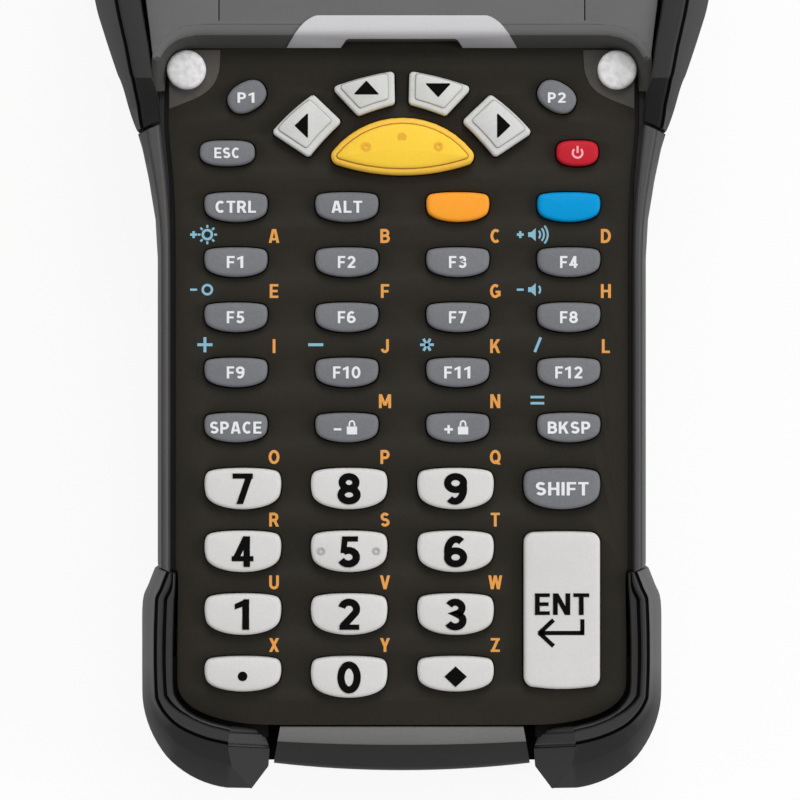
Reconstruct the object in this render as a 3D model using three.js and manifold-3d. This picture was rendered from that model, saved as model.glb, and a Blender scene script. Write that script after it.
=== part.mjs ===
// Rugged handheld data terminal, lying on its back: +Z points out of the keypad,
// +Y towards the display head and +X to the right of somebody reading the keys.
// Units are millimetres. The origin is the bottom centre of the whole object.

import * as THREE from 'three';
import { mergeVertices } from 'three/addons/utils/BufferGeometryUtils.js';
import Module from 'manifold-3d';

const wasm = await Module();
wasm.setup();

// ---- Driving dimensions -------------------------------------------------

const bodyLength = 231;
const lowerEnd = -bodyLength / 2;
const headEnd = bodyLength / 2;
const wall = 2.2;
const gap = 0.3;

// Heights above the surface that the back lies on.
const splitHeight = 22;
const boardCavityTop = 29;
const bezelBottom = 32;
const bezelTop = 34;
const railTop = 35.5;
const headTop = 39;
const headBumperTop = 40.5;
const cornerBumperTop = 36.5;

// Outer half widths.
const headHalfWidth = 45.5;
const gripHalfWidth = 35.66;
const cornerHalfWidth = 38.1;
const bezelUpperHalfWidth = 34.1;
const bezelHalfWidth = 33.1;
const bezelLowerHalfWidth = 32.5;

// The shadow gap between the bezel and the rails on both sides of it.
const railGap = 0.6;

// Keys: how far they travel and how they are trapped under the bezel.
const keyTravel = 0.8;
const keyClearance = 0.35;
const flangeWidth = 0.95;
const flangeBottom = 30.3;
const flangeTop = 31.6;
const matTop = flangeBottom - keyTravel - 0.4;
const matThickness = 1.6;
const smallKey = { width: 9.15, height: 4.3, top: 35.5, colour: 0x76767a };
const numberKey = { width: 11.1, height: 6, lastHeight: 5.1, top: 36, colour: 0xcdcdca };
const smallPitch = { x: 16.18, y: 8.04 };
const numberPitch = { x: 15.5, y: 9.15 };
const smallBlock = { x: 0.08, y: -46.28 };
const numberBlock = { x: 0.08, y: -84.98 };

// Battery pack and the bay that it slides in.
const batteryHalfWidth = 17.4;
const batteryHeight = 19;
const batteryInnerEnd = -24;
const batteryOuterEnd = -111;
const bayClearance = 0.4;
const railGroove = { low: 7.6, high: 11, depth: 1.4 };
const latch = { halfWidth: 6.5, low: 6.4, high: 12.6, proud: 0.5, depth: 2.2, travel: 2 };

// Display window.
const glassHalfWidth = 32;
const glassBottom = 8;
const glassTop = 92;
const glassLedge = 2;
const glassFloor = headTop - 2;

// Corner screws of the keypad module.
const screw = { x: 31.4, y: -10.2, headRadius: 2.85, shankRadius: 1.3, headBottom: 34.3, headTop: 35.6 };

const colours = {
  housing: 0x4a4a4a,
  displayFrame: 0x6a6a6a,
  rubber: 0x3a3a3a,
  bezel: 0x2b2723,
  orange: 0xff9e32,
  blue: 0x0096d7,
  red: 0xc81e2d,
  yellow: 0xffc83c,
  steel: 0xd0d0d0,
};

// ---- Outlines -----------------------------------------------------------

// A rounded corner from the end of one straight edge to the start of the next,
// as a quarter of |x|^n + |y|^n = 1. n = 2 is an ellipse.
function cornerCurve(centre, radiusX, radiusY, startAngle, endAngle, steps, power = 2) {
  const points = [];
  for (let i = 0; i <= steps; i++) {
    const angle = startAngle + ((endAngle - startAngle) * i) / steps;
    const c = Math.cos(angle);
    const s = Math.sin(angle);
    const x = Math.sign(c) * Math.abs(c) ** (2 / power);
    const y = Math.sign(s) * Math.abs(s) ** (2 / power);
    points.push([centre[0] + radiusX * x, centre[1] + radiusY * y]);
  }
  return points;
}

const mirrorX = (points) => points.map(([x, y]) => [-x, y]).reverse();
const moved = (points, dx, dy) => points.map(([x, y]) => [x + dx, y + dy]);
const symmetric = (rightHalf) => [...rightHalf, ...mirrorX(rightHalf)];

function turned(points, angle) {
  const c = Math.cos(angle);
  const s = Math.sin(angle);
  return points.map(([x, y]) => [x * c - y * s, x * s + y * c]);
}

function area(points) {
  let sum = 0;
  points.forEach(([x, y], i) => {
    const [nx, ny] = points[(i + 1) % points.length];
    sum += x * ny - nx * y;
  });
  return sum / 2;
}

const anticlockwise = (points) => (area(points) < 0 ? [...points].reverse() : points);

// Moves every edge outwards by the distance, or inwards when it is negative.
function offset(outline, distance) {
  const points = anticlockwise(outline);
  const count = points.length;
  const normal = (a, b) => {
    const length = Math.hypot(b[0] - a[0], b[1] - a[1]);
    return [(b[1] - a[1]) / length, (a[0] - b[0]) / length];
  };
  return points.map((point, i) => {
    const before = normal(points[(i + count - 1) % count], point);
    const after = normal(point, points[(i + 1) % count]);
    const scale = distance / (1 + before[0] * after[0] + before[1] * after[1]);
    return [point[0] + (before[0] + after[0]) * scale, point[1] + (before[1] + after[1]) * scale];
  });
}

const rectangle = (x0, y0, x1, y1) => [[x0, y0], [x1, y0], [x1, y1], [x0, y1]];

function roundedRectangle(width, height, radius, steps) {
  const x = width / 2 - radius;
  const y = height / 2 - radius;
  const corners = [[x, y], [-x, y], [-x, -y], [x, -y]];
  return corners.flatMap((corner, i) =>
    cornerCurve(corner, radius, radius, (i * Math.PI) / 2, ((i + 1) * Math.PI) / 2, steps));
}

// A key's outline: a nearly straight top edge, and a bottom edge that bows down.
// The shares are of the half width and the half height.
const bucketShares = [[0.5, 0.97], [0.82, 0.88], [0.95, 0.72], [1, 0.35], [0.98, -0.15], [0.9, -0.5],
  [0.68, -0.78], [0.36, -0.94]];

function bucketOutline(width, height) {
  const right = bucketShares.map(([x, y]) => [(x * width) / 2, (y * height) / 2]);
  return [[0, height / 2], ...right, [0, -height / 2], ...mirrorX(right)];
}

// A quadrilateral with cut corners, for the arrow keys.
function chamferedPolygon(corners, cut) {
  return corners.flatMap((corner, i) => {
    const before = corners[(i + corners.length - 1) % corners.length];
    const after = corners[(i + 1) % corners.length];
    return [before, after].map((other) => {
      const length = Math.hypot(other[0] - corner[0], other[1] - corner[1]);
      return [0, 1].map((k) => corner[k] + ((other[k] - corner[k]) * cut) / length);
    });
  });
}

// The scan key is bounded by two arcs that meet at blunt ends.
function lensOutline(halfWidth, rise, drop, steps) {
  const arc = (height, from, to) => {
    const radius = (halfWidth ** 2 + height ** 2) / (2 * height);
    const half = Math.asin(halfWidth / radius);
    const points = [];
    for (let i = 0; i <= steps; i++) {
      const angle = half * (from + ((to - from) * i) / steps);
      points.push([radius * Math.sin(angle), height - radius * (1 - Math.cos(angle))]);
    }
    return points;
  };
  const top = arc(rise, -0.95, 0.95);
  const bottom = arc(drop, 0.95, -0.95).map(([x, y]) => [x, -y]);
  return [...top, ...bottom];
}

// Right half of the head, from the middle of its top end down to the shoulder.
function headHalf(inset) {
  const corner = cornerCurve([31.5, 101.5], 14 - inset, 14 - inset, Math.PI / 2, 0, 4);
  return [
    ...corner,
    [headHalfWidth - inset, 6],
    [44.6 - inset, -1.1],
    [42.2 - inset * 0.9, -8.7],
    [39.8 - inset * 0.6, -16],
    [38.75 - inset * 0.3, -19.1],
  ];
}

// The line where the head bumper meets the housings, from the shoulder up.
function headSeam(inset) {
  const corner = cornerCurve([30.5, 101.5], 8 - inset, 8 - inset, 0, Math.PI / 2, 3);
  return [
    [35.6 - inset, -17.4],
    [35.7 - inset, -14.5],
    [36.1 - inset, -10.9],
    [36.9 - inset, -5.8],
    [37.7 - inset, -1.1],
    [38.5 - inset, 6],
    ...corner,
  ];
}

// The inner curve of a lower corner, shared by the bumper, the housings and the bezel.
const lowerCorner = (inset, steps) =>
  cornerCurve([18, -96], 14.9 - inset, 10 - inset, 0, -Math.PI / 2, steps, 2.4);

// Both housings share this outline. It flares at the shoulders under the head bumper,
// and steps in at the lower corners to make room for the corner bumpers.
const housingOutline = anticlockwise(symmetric([
  ...headSeam(gap).reverse(),
  [38.55, -19.5],
  [37.9, -21.7],
  [36.95, -26.2],
  [36, -32],
  [gripHalfWidth, -37.9],
  [gripHalfWidth, -82.2],
  [32.6, -83.6],
  ...lowerCorner(gap, 5),
]));

const bezelOutline = anticlockwise(symmetric([
  [9.05, -6.35],
  [9.65, -6.95],
  ...cornerCurve([bezelUpperHalfWidth - 3, -9.95], 3, 3, Math.PI / 2, 0, 3),
  [bezelUpperHalfWidth, -19],
  [33.4, -26.2],
  [bezelHalfWidth, -37.9],
  [bezelHalfWidth, -82.9],
  [bezelLowerHalfWidth, -84],
  ...lowerCorner(gap + 0.1, 5),
]));

// ---- Solids -------------------------------------------------------------

// Joins outlines with the same number of points, stacked from the lowest to the highest.
function loft(rings) {
  const outlines = rings.map((ring) => anticlockwise(ring.outline));
  const count = outlines[0].length;
  const positions = outlines.flatMap((outline, i) => outline.flatMap(([x, y]) => [x, y, rings[i].z]));
  const triangles = [];
  for (let i = 0; i + 1 < rings.length; i++) {
    for (let j = 0; j < count; j++) {
      const a = i * count + j;
      const b = i * count + ((j + 1) % count);
      triangles.push(a, b, b + count, a, b + count, a + count);
    }
  }
  const cap = (outline, base, flip) => {
    const faces = THREE.ShapeUtils.triangulateShape(outline.map(([x, y]) => new THREE.Vector2(x, y)), []);
    faces.forEach(([a, b, c]) => triangles.push(base + a, base + (flip ? c : b), base + (flip ? b : c)));
  };
  cap(outlines[0], 0, true);
  cap(outlines.at(-1), (rings.length - 1) * count, false);
  const geometry = new THREE.BufferGeometry();
  geometry.setAttribute('position', new THREE.Float32BufferAttribute(positions, 3));
  geometry.setIndex(triangles);
  return geometry;
}

const prism = (outline, bottom, top) => loft([{ outline, z: bottom }, { outline, z: top }]);

const box = (x0, x1, y0, y1, z0, z1) => prism(rectangle(x0, y0, x1, y1), z0, z1);

// A prism along Y from an outline in X and Z.
function prismAlongY(outline, y0, y1) {
  const geometry = prism(outline, -y1, -y0);
  geometry.rotateX(Math.PI / 2);
  return geometry;
}

function toSolid(geometry) {
  const shell = geometry.clone();
  shell.deleteAttribute('normal');
  shell.deleteAttribute('uv');
  const merged = mergeVertices(shell);
  return new wasm.Manifold(new wasm.Mesh({
    numProp: 3,
    vertProperties: new Float32Array(merged.attributes.position.array),
    triVerts: new Uint32Array(merged.index.array),
  }));
}

function toGeometry(solid) {
  const mesh = solid.getMesh();
  const geometry = new THREE.BufferGeometry();
  geometry.setAttribute('position', new THREE.BufferAttribute(mesh.vertProperties, 3));
  geometry.setIndex(new THREE.BufferAttribute(mesh.triVerts, 1));
  return geometry;
}

function combine(first, added, removed) {
  let solid = toSolid(first);
  added.forEach((geometry) => { solid = solid.add(toSolid(geometry)); });
  removed.forEach((geometry) => { solid = solid.subtract(toSolid(geometry)); });
  return toGeometry(solid);
}

const terminal = new THREE.Group();

function addPart(name, geometry, colour, roughness = 0.6, metalness = 0) {
  const material = new THREE.MeshStandardMaterial({ color: colour, roughness, metalness });
  const mesh = new THREE.Mesh(geometry, material);
  mesh.name = name;
  terminal.add(mesh);
}

// ---- Keys ---------------------------------------------------------------

const keys = [];

function addKey(name, outline, x, y, top, colour) {
  keys.push({ name, outline: anticlockwise(moved(outline, x, y)), top, colour });
}

const smallOutline = bucketOutline(smallKey.width, smallKey.height);
const smallRows = [
  ['ctrl', 'alt', 'orange', 'blue'],
  ['f1', 'f2', 'f3', 'f4'],
  ['f5', 'f6', 'f7', 'f8'],
  ['f9', 'f10', 'f11', 'f12'],
  ['space', 'lock_minus', 'lock_plus', 'backspace'],
];
smallRows.forEach((row, i) => row.forEach((name, j) => {
  const x = smallBlock.x + (j - 1.5) * smallPitch.x;
  const y = smallBlock.y + (2 - i) * smallPitch.y;
  addKey(`key_${name}`, smallOutline, x, y, smallKey.top, colours[name] ?? smallKey.colour);
}));

// The two keys beside the zero are less tall, and their top edges line up with it.
const numberOutline = bucketOutline(numberKey.width, numberKey.height);
const lastOutline = moved(bucketOutline(numberKey.width, numberKey.lastHeight), 0,
  (numberKey.height - numberKey.lastHeight) / 2);
const numberRows = [
  ['7', '8', '9', 'shift'],
  ['4', '5', '6'],
  ['1', '2', '3'],
  ['point', '0', 'diamond'],
];
numberRows.forEach((row, i) => row.forEach((name, j) => {
  const x = numberBlock.x + (j - 1.5) * numberPitch.x;
  const y = numberBlock.y + (1.5 - i) * numberPitch.y;
  const colour = name === 'shift' ? smallKey.colour : numberKey.colour;
  const outline = name === 'point' || name === 'diamond' ? lastOutline : numberOutline;
  addKey(`key_${name}`, outline, x, y, numberKey.top, colour);
}));

const enterKey = { width: 11.1, height: 23, radius: 1.6, y: -89 };
const enterOutline = roundedRectangle(enterKey.width, enterKey.height, enterKey.radius, 2);
addKey('key_enter', enterOutline, numberBlock.x + 1.5 * numberPitch.x, enterKey.y, numberKey.top,
  numberKey.colour);

const topRow = { y: -22.35, escapeX: -25.45, powerX: 25.6, programX: 22.6, programY: -14.1 };
addKey('key_escape', roundedRectangle(8, 3.7, 1.5, 3), topRow.escapeX, topRow.y, smallKey.top,
  smallKey.colour);
addKey('key_power', roundedRectangle(6.1, 3.7, 1.5, 3), topRow.powerX, topRow.y, smallKey.top,
  colours.red);
const programOutline = roundedRectangle(5.9, 4.2, 1.75, 3);
[['key_p1', -1], ['key_p2', 1]].forEach(([name, side]) => {
  const outline = turned(programOutline, (-side * Math.PI) / 6);
  addKey(name, outline, side * topRow.programX, topRow.programY, smallKey.top, smallKey.colour);
});

const sideArrow = [[12.95, -13.8], [8.75, -17.75], [13.6, -23], [19.1, -19.4]];
const innerArrow = [[10.2, -12.8], [1.25, -10.4], [1.1, -15.1], [6.4, -16.75]];
const arrowCut = 1.2;
const arrowColour = 0xc3c3c0;
const arrows = [['up', innerArrow, -1], ['down', innerArrow, 1], ['left', sideArrow, -1],
  ['right', sideArrow, 1]];
arrows.forEach(([name, corners, side]) => {
  const outline = chamferedPolygon(corners.map(([x, y]) => [side * x, y]), arrowCut);
  addKey(`key_arrow_${name}`, outline, 0, 0, numberKey.top, arrowColour);
});

const scanKey = { halfWidth: 10.45, rise: 5.6, drop: 2.5, y: -23, top: 37.2 };
const scanOutline = lensOutline(scanKey.halfWidth, scanKey.rise, scanKey.drop, 7);
addKey('key_scan', scanOutline, 0, scanKey.y, scanKey.top, colours.yellow);

const keyCrown = 0.45;
keys.forEach((key) => {
  const flange = offset(key.outline, flangeWidth);
  const geometry = loft([
    { outline: flange, z: flangeBottom },
    { outline: flange, z: flangeTop },
    { outline: key.outline, z: flangeTop },
    { outline: key.outline, z: key.top - keyCrown },
    { outline: offset(key.outline, -keyCrown), z: key.top },
  ]);
  addPart(key.name, geometry, key.colour, 0.5);
});

// ---- Keypad module ------------------------------------------------------

const screwHoles = [-1, 1].map((side) => {
  const hole = roundedRectangle(2 * screw.shankRadius + 0.6, 2 * screw.shankRadius + 0.6, 1.59, 2);
  return prism(moved(hole, side * screw.x, screw.y), splitHeight, headTop);
});

const keyHoles = keys.map((key) => prism(offset(key.outline, keyClearance), bezelBottom - 1, bezelTop + 1));
const bezelPlate = prism(bezelOutline, bezelBottom, bezelTop);
addPart('keypad_bezel', combine(bezelPlate, [], [...keyHoles, ...screwHoles]), colours.bezel, 0.7);

// The mat is cut back at its upper corners to clear the two screws.
const matOutline = symmetric([
  [27.5, -9],
  [27.5, -14.5],
  [31.5, -14.5],
  [31.5, -82.5],
  [30.5, -84],
  ...lowerCorner(gap + 2, 4),
]);
addPart('key_mat', prism(matOutline, matTop - matThickness, matTop), 0x202020, 0.9);

[['keypad_screw_left', -1], ['keypad_screw_right', 1]].forEach(([name, side]) => {
  const profile = [
    [0, bezelBottom - 4],
    [screw.shankRadius, bezelBottom - 4],
    [screw.shankRadius, screw.headBottom],
    [screw.headRadius, screw.headBottom],
    [screw.headRadius, screw.headTop - 0.5],
    [screw.headRadius - 0.6, screw.headTop],
    [0, screw.headTop],
  ];
  const geometry = new THREE.LatheGeometry(profile.map(([r, z]) => new THREE.Vector2(r, z)), 20);
  geometry.rotateX(Math.PI / 2);
  geometry.translate(side * screw.x, screw.y, 0);
  addPart(name, geometry, colours.steel, 0.3, 1);
});

// ---- Housings -----------------------------------------------------------

// The keypad module lies in a pocket whose upper end climbs to the display frame.
const pocketFloor = bezelBottom - gap;
const bezelPocket = prism(offset(bezelOutline, railGap), pocketFloor, headTop + 1);
const stepOutline = (halfWidth, top, radius) => symmetric([
  ...cornerCurve([halfWidth - radius, top - radius], radius, radius, Math.PI / 2, 0, 3),
  [halfWidth, -30],
]);
const stepPocket = loft([
  { outline: stepOutline(34.7, -7, 3.4), z: bezelTop },
  { outline: stepOutline(34.7, -7, 3.4), z: railTop },
  { outline: stepOutline(36.2, -4.9, 5.5), z: headTop },
  { outline: stepOutline(36.2, -4.9, 5.5), z: headTop + 1 },
]);
const keypadOpening = prism(offset(bezelOutline, -1.4), splitHeight, pocketFloor + 1);
const boardCavity = prism(offset(housingOutline, -wall), splitHeight, boardCavityTop);
const headCavity = box(-34, 34, -4, 105, splitHeight - 1, glassFloor - glassLedge);
const glassPocket = box(-glassHalfWidth - gap, glassHalfWidth + gap, glassBottom - gap, glassTop + gap,
  glassFloor, headTop + 1);
const displayOpening = box(-glassHalfWidth + glassLedge, glassHalfWidth - glassLedge,
  glassBottom + glassLedge, glassTop - glassLedge, splitHeight, headTop);

// The rails are the rims of the grip, and the head block carries the display frame.
const headBlockEnd = -9;
const headBlock = headSeam(gap)
  .filter(([, y]) => y > headBlockEnd)
  .reverse();
headBlock.push([36.05, headBlockEnd]);
const railChamfer = { inset: 0.6, height: 2 };
const frontShell = loft([
  { outline: housingOutline, z: splitHeight + gap },
  { outline: housingOutline, z: railTop - railChamfer.height },
  { outline: offset(housingOutline, -railChamfer.inset), z: railTop },
]);
const headShell = prism(anticlockwise(symmetric(headBlock)), splitHeight + gap, headTop);
addPart('front_housing', combine(frontShell, [headShell], [
  stepPocket,
  bezelPocket,
  keypadOpening,
  boardCavity,
  headCavity,
  glassPocket,
  displayOpening,
  ...screwHoles,
]), colours.displayFrame, 0.4);

// The scan aperture is cut through the head's end, and the window fills its inner part.
const aperture = { halfWidth: 23, low: 9, high: 19.5 };
const scanCut = box(-aperture.halfWidth, aperture.halfWidth, 100, headEnd + 1, aperture.low, aperture.high);

const rearShell = loft([
  { outline: offset(housingOutline, -2), z: 0 },
  { outline: housingOutline, z: 3.5 },
  { outline: housingOutline, z: splitHeight },
]);
const bayHalfWidth = batteryHalfWidth + bayClearance;
const bayTop = batteryHeight + bayClearance;
const bayShell = box(-bayHalfWidth - wall, bayHalfWidth + wall, lowerEnd, batteryInnerEnd + wall + 1, 0,
  splitHeight - 0.6);
const rearCavity = combine(prism(offset(housingOutline, -wall), wall, splitHeight + 1), [], [bayShell]);
const batteryBay = box(-bayHalfWidth, bayHalfWidth, lowerEnd - 1, batteryInnerEnd + 1, -1, bayTop);

// One rail on each side of the bay runs in the battery's groove.
const bayRails = [-1, 1].map((side) => {
  const outer = side * (bayHalfWidth + 0.5);
  const inner = side * (batteryHalfWidth - railGroove.depth + bayClearance);
  return box(Math.min(outer, inner), Math.max(outer, inner), -104, batteryInnerEnd - 4,
    railGroove.low + bayClearance, railGroove.high - bayClearance);
});
const rearHollow = combine(rearShell, [], [rearCavity, batteryBay]);
addPart('rear_housing', combine(rearHollow, bayRails, [scanCut]), colours.housing, 0.7);

// ---- Display and electronics -------------------------------------------

addPart('display_glass', box(-glassHalfWidth, glassHalfWidth, glassBottom, glassTop,
  glassFloor + gap, headTop - gap), 0x101418, 0.1);
addPart('display_module', box(-29.6, 29.6, glassBottom + glassLedge + 0.4, glassTop - glassLedge - 0.4,
  31, glassFloor), 0x30343a, 0.5);
addPart('main_board', box(-29, 29, -96, 98, 23.4, 25), 0x1f5a34, 0.6);
addPart('scan_window', box(-aperture.halfWidth + gap, aperture.halfWidth - gap, 105.5, 107.5,
  aperture.low + gap, aperture.high - gap), 0x30060a, 0.1);

// ---- Bumpers ------------------------------------------------------------

const headRing = (inset) => symmetric([...headHalf(inset), ...headSeam(0)]);
const headBumperSolid = loft([
  { outline: headRing(2.5), z: 2.5 },
  { outline: headRing(0), z: 8 },
  { outline: headRing(0), z: 30 },
  { outline: headRing(3), z: headBumperTop - 1 },
  { outline: headRing(3.8), z: headBumperTop },
]);

// The bumper's top slopes down over the shoulders, where it ends beside the keypad.
const shoulder = { start: -11.7, end: -20, low: 34.9 };
const shoulderRing = (upperEdge) => rectangle(-headHalfWidth, shoulder.end, headHalfWidth, upperEdge);
const shoulderCut = loft([
  { outline: shoulderRing(shoulder.end + 0.5), z: shoulder.low },
  { outline: shoulderRing(shoulder.start), z: headBumperTop },
  { outline: shoulderRing(shoulder.start), z: headBumperTop + 1 },
]);
addPart('head_bumper', combine(headBumperSolid, [], [scanCut, shoulderCut]), colours.rubber, 0.8);

function cornerBumperOutline(inset) {
  return [
    [36.4 - inset, -82.6 - inset * 0.4],
    [37.3 - inset, -85.2],
    [cornerHalfWidth - inset, -87.8],
    ...cornerCurve([24, -101], 14.1 - inset, 14.5 - inset, 0, -Math.PI / 2, 6),
    [22.2, lowerEnd + inset],
    [18.95, -112 + inset * 0.6],
    [18.1, -106.2],
    ...lowerCorner(0, 5).reverse(),
    [32.9, -84],
  ];
}

[['corner_bumper_left', -1], ['corner_bumper_right', 1]].forEach(([name, side]) => {
  const ring = (inset) => anticlockwise(cornerBumperOutline(inset).map(([x, y]) => [side * x, y]));
  addPart(name, loft([
    { outline: ring(1.5), z: 1 },
    { outline: ring(0), z: 5 },
    { outline: ring(0), z: 27 },
    { outline: ring(2.5), z: cornerBumperTop },
  ]), colours.rubber, 0.8);
});

// ---- End bar and dock connector ----------------------------------------

const bar = { halfWidth: 17.6, top: -106, sideSlope: 0.17, steps: 7 };
function barOutline(endY, middleY) {
  const lowerHalfWidth = bar.halfWidth + (bar.top - endY) * bar.sideSlope;
  const lowerEdge = [];
  for (let i = 0; i <= bar.steps; i++) {
    const across = 1 - (2 * i) / bar.steps;
    lowerEdge.push([lowerHalfWidth * across, endY + (middleY - endY) * (1 - across ** 2)]);
  }
  return [[-bar.halfWidth, bar.top], [bar.halfWidth, bar.top], ...lowerEdge];
}
const connectorHole = { halfWidth: 12, low: 21.3, high: 27.2 };
const barShell = loft([
  { outline: barOutline(-111.2, -112.3), z: bayTop + gap },
  { outline: barOutline(-111.2, -112.3), z: 28.2 },
  { outline: barOutline(-108.1, -108.9), z: 33.6 },
]);
const connectorCut = box(-connectorHole.halfWidth, connectorHole.halfWidth, -114, -104,
  connectorHole.low, connectorHole.high);
addPart('end_bar', combine(barShell, [], [connectorCut]), 0x505050, 0.5);
addPart('dock_connector', box(-connectorHole.halfWidth + gap, connectorHole.halfWidth - gap,
  -107.2, -106.05, connectorHole.low + gap, connectorHole.high - gap), 0x18181a, 0.6);

// ---- Battery pack and its release button --------------------------------

const grooveFloor = batteryHalfWidth - railGroove.depth;
const batterySection = symmetric([
  [batteryHalfWidth - 1.5, 0],
  [batteryHalfWidth, 1.5],
  [batteryHalfWidth, railGroove.low],
  [grooveFloor, railGroove.low],
  [grooveFloor, railGroove.high],
  [batteryHalfWidth, railGroove.high],
  [batteryHalfWidth, batteryHeight],
]);
const latchRecess = box(-latch.halfWidth - bayClearance, latch.halfWidth + bayClearance,
  batteryOuterEnd - 1, batteryOuterEnd + latch.depth + latch.travel + 0.4,
  latch.low - bayClearance, latch.high + bayClearance);
addPart('battery_pack', combine(prismAlongY(batterySection, batteryOuterEnd, batteryInnerEnd), [],
  [latchRecess]), 0x303030, 0.7);
addPart('battery_latch', box(-latch.halfWidth, latch.halfWidth, batteryOuterEnd - latch.proud,
  batteryOuterEnd + latch.depth, latch.low, latch.high), 0x8a8a8e, 0.5);

export default terminal;
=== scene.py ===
"""Looks of a rugged handheld data terminal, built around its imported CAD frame."""

import math

import bmesh
import bpy
from mathutils import Matrix, Vector


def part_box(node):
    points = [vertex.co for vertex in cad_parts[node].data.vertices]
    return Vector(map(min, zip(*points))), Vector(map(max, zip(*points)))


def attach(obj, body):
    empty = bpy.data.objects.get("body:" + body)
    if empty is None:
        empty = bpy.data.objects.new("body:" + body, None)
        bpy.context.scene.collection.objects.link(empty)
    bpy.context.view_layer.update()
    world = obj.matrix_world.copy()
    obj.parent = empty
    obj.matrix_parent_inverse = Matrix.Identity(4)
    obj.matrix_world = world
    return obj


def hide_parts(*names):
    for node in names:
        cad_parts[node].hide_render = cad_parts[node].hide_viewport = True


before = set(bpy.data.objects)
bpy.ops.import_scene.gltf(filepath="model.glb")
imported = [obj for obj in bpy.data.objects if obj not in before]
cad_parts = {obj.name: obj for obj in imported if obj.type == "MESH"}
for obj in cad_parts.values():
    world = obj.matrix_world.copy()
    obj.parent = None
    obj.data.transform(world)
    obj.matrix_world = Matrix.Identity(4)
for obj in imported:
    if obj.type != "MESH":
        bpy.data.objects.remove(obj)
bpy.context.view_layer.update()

MM = 0.001
HOUSING = "housing"
SIDES = ((-1, "left"), (1, "right"))

# ---- Driving heights and places, in millimetres, taken from the frame ----


def box_mm(node):
    low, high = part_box(node)
    return low / MM, high / MM


bezel_low, bezel_high = box_mm("keypad_bezel")
HEAD_TOP = box_mm("front_housing")[1].z
glass_low, glass_high = box_mm("display_glass")
BUMPER_TOP = box_mm("head_bumper")[1].z
CORNER_TOP = box_mm("corner_bumper_right")[1].z
BEZEL_TOP = bezel_high.z
BEZEL_BOTTOM = bezel_low.z
GLASS_TOP = glass_high.z

# ---- Materials ------------------------------------------------------------


def linear(rgb):
    """A colour given as 0 to 255 on screen, as the linear values that a shader takes."""
    return [(c / 255 / 12.92) if c / 255 < 0.04045 else ((c / 255 + 0.055) / 1.055) ** 2.4 for c in rgb]


CLOUD_SCALE = 90
GLOSS_SPREAD = 0.06


def moulded(name, rgb, roughness=0.5, specular=0.3, grain=2600, depth=0.02, mottle=0.08, coat=0.0,
            metallic=0.0):
    """Moulded plastic or rubber: mottled colour, uneven gloss and a fine grain in relief."""
    material = bpy.data.materials.new(name)
    material.use_nodes = True
    nodes = material.node_tree.nodes
    links = material.node_tree.links
    shader = nodes["Principled BSDF"]
    shader.inputs["Specular IOR Level"].default_value = specular
    shader.inputs["Coat Weight"].default_value = coat
    shader.inputs["Coat Roughness"].default_value = 0.12
    shader.inputs["Metallic"].default_value = metallic
    coords = nodes.new("ShaderNodeTexCoord")
    cloud = nodes.new("ShaderNodeTexNoise")
    cloud.inputs["Scale"].default_value = CLOUD_SCALE
    cloud.inputs["Detail"].default_value = 6
    speck = nodes.new("ShaderNodeTexNoise")
    speck.inputs["Scale"].default_value = grain
    speck.inputs["Detail"].default_value = 2
    for texture in (cloud, speck):
        links.new(coords.outputs["Object"], texture.inputs["Vector"])
    blend = nodes.new("ShaderNodeMath")
    blend.operation = "MULTIPLY_ADD"
    blend.inputs[1].default_value = 0.5
    links.new(cloud.outputs["Fac"], blend.inputs[0])
    half = nodes.new("ShaderNodeMath")
    half.operation = "MULTIPLY"
    half.inputs[1].default_value = 0.5
    links.new(speck.outputs["Fac"], half.inputs[0])
    links.new(half.outputs[0], blend.inputs[2])
    ramp = nodes.new("ShaderNodeValToRGB")
    base = linear(rgb)
    ramp.color_ramp.elements[0].position = 0.3
    ramp.color_ramp.elements[0].color = [c * (1 - mottle) for c in base] + [1]
    ramp.color_ramp.elements[1].position = 0.7
    ramp.color_ramp.elements[1].color = [min(1, c * (1 + mottle)) for c in base] + [1]
    links.new(blend.outputs[0], ramp.inputs["Fac"])
    links.new(ramp.outputs["Color"], shader.inputs["Base Color"])
    gloss = nodes.new("ShaderNodeMapRange")
    gloss.inputs["To Min"].default_value = roughness - GLOSS_SPREAD
    gloss.inputs["To Max"].default_value = roughness + GLOSS_SPREAD
    links.new(cloud.outputs["Fac"], gloss.inputs["Value"])
    links.new(gloss.outputs["Result"], shader.inputs["Roughness"])
    bump = nodes.new("ShaderNodeBump")
    bump.inputs["Strength"].default_value = 0.5
    bump.inputs["Distance"].default_value = depth * MM
    links.new(speck.outputs["Fac"], bump.inputs["Height"])
    links.new(bump.outputs["Normal"], shader.inputs["Normal"])
    return material


def ink(name, rgb, specular=0.12, mottle=0.06, roughness=0.5):
    return moulded(name, rgb, roughness, specular, depth=0.0, mottle=mottle)


def key_plastic(name, rgb, roughness=0.5, specular=0.12, mottle=0.06):
    return moulded(name, rgb, roughness, specular, depth=0.015, mottle=mottle)


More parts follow.
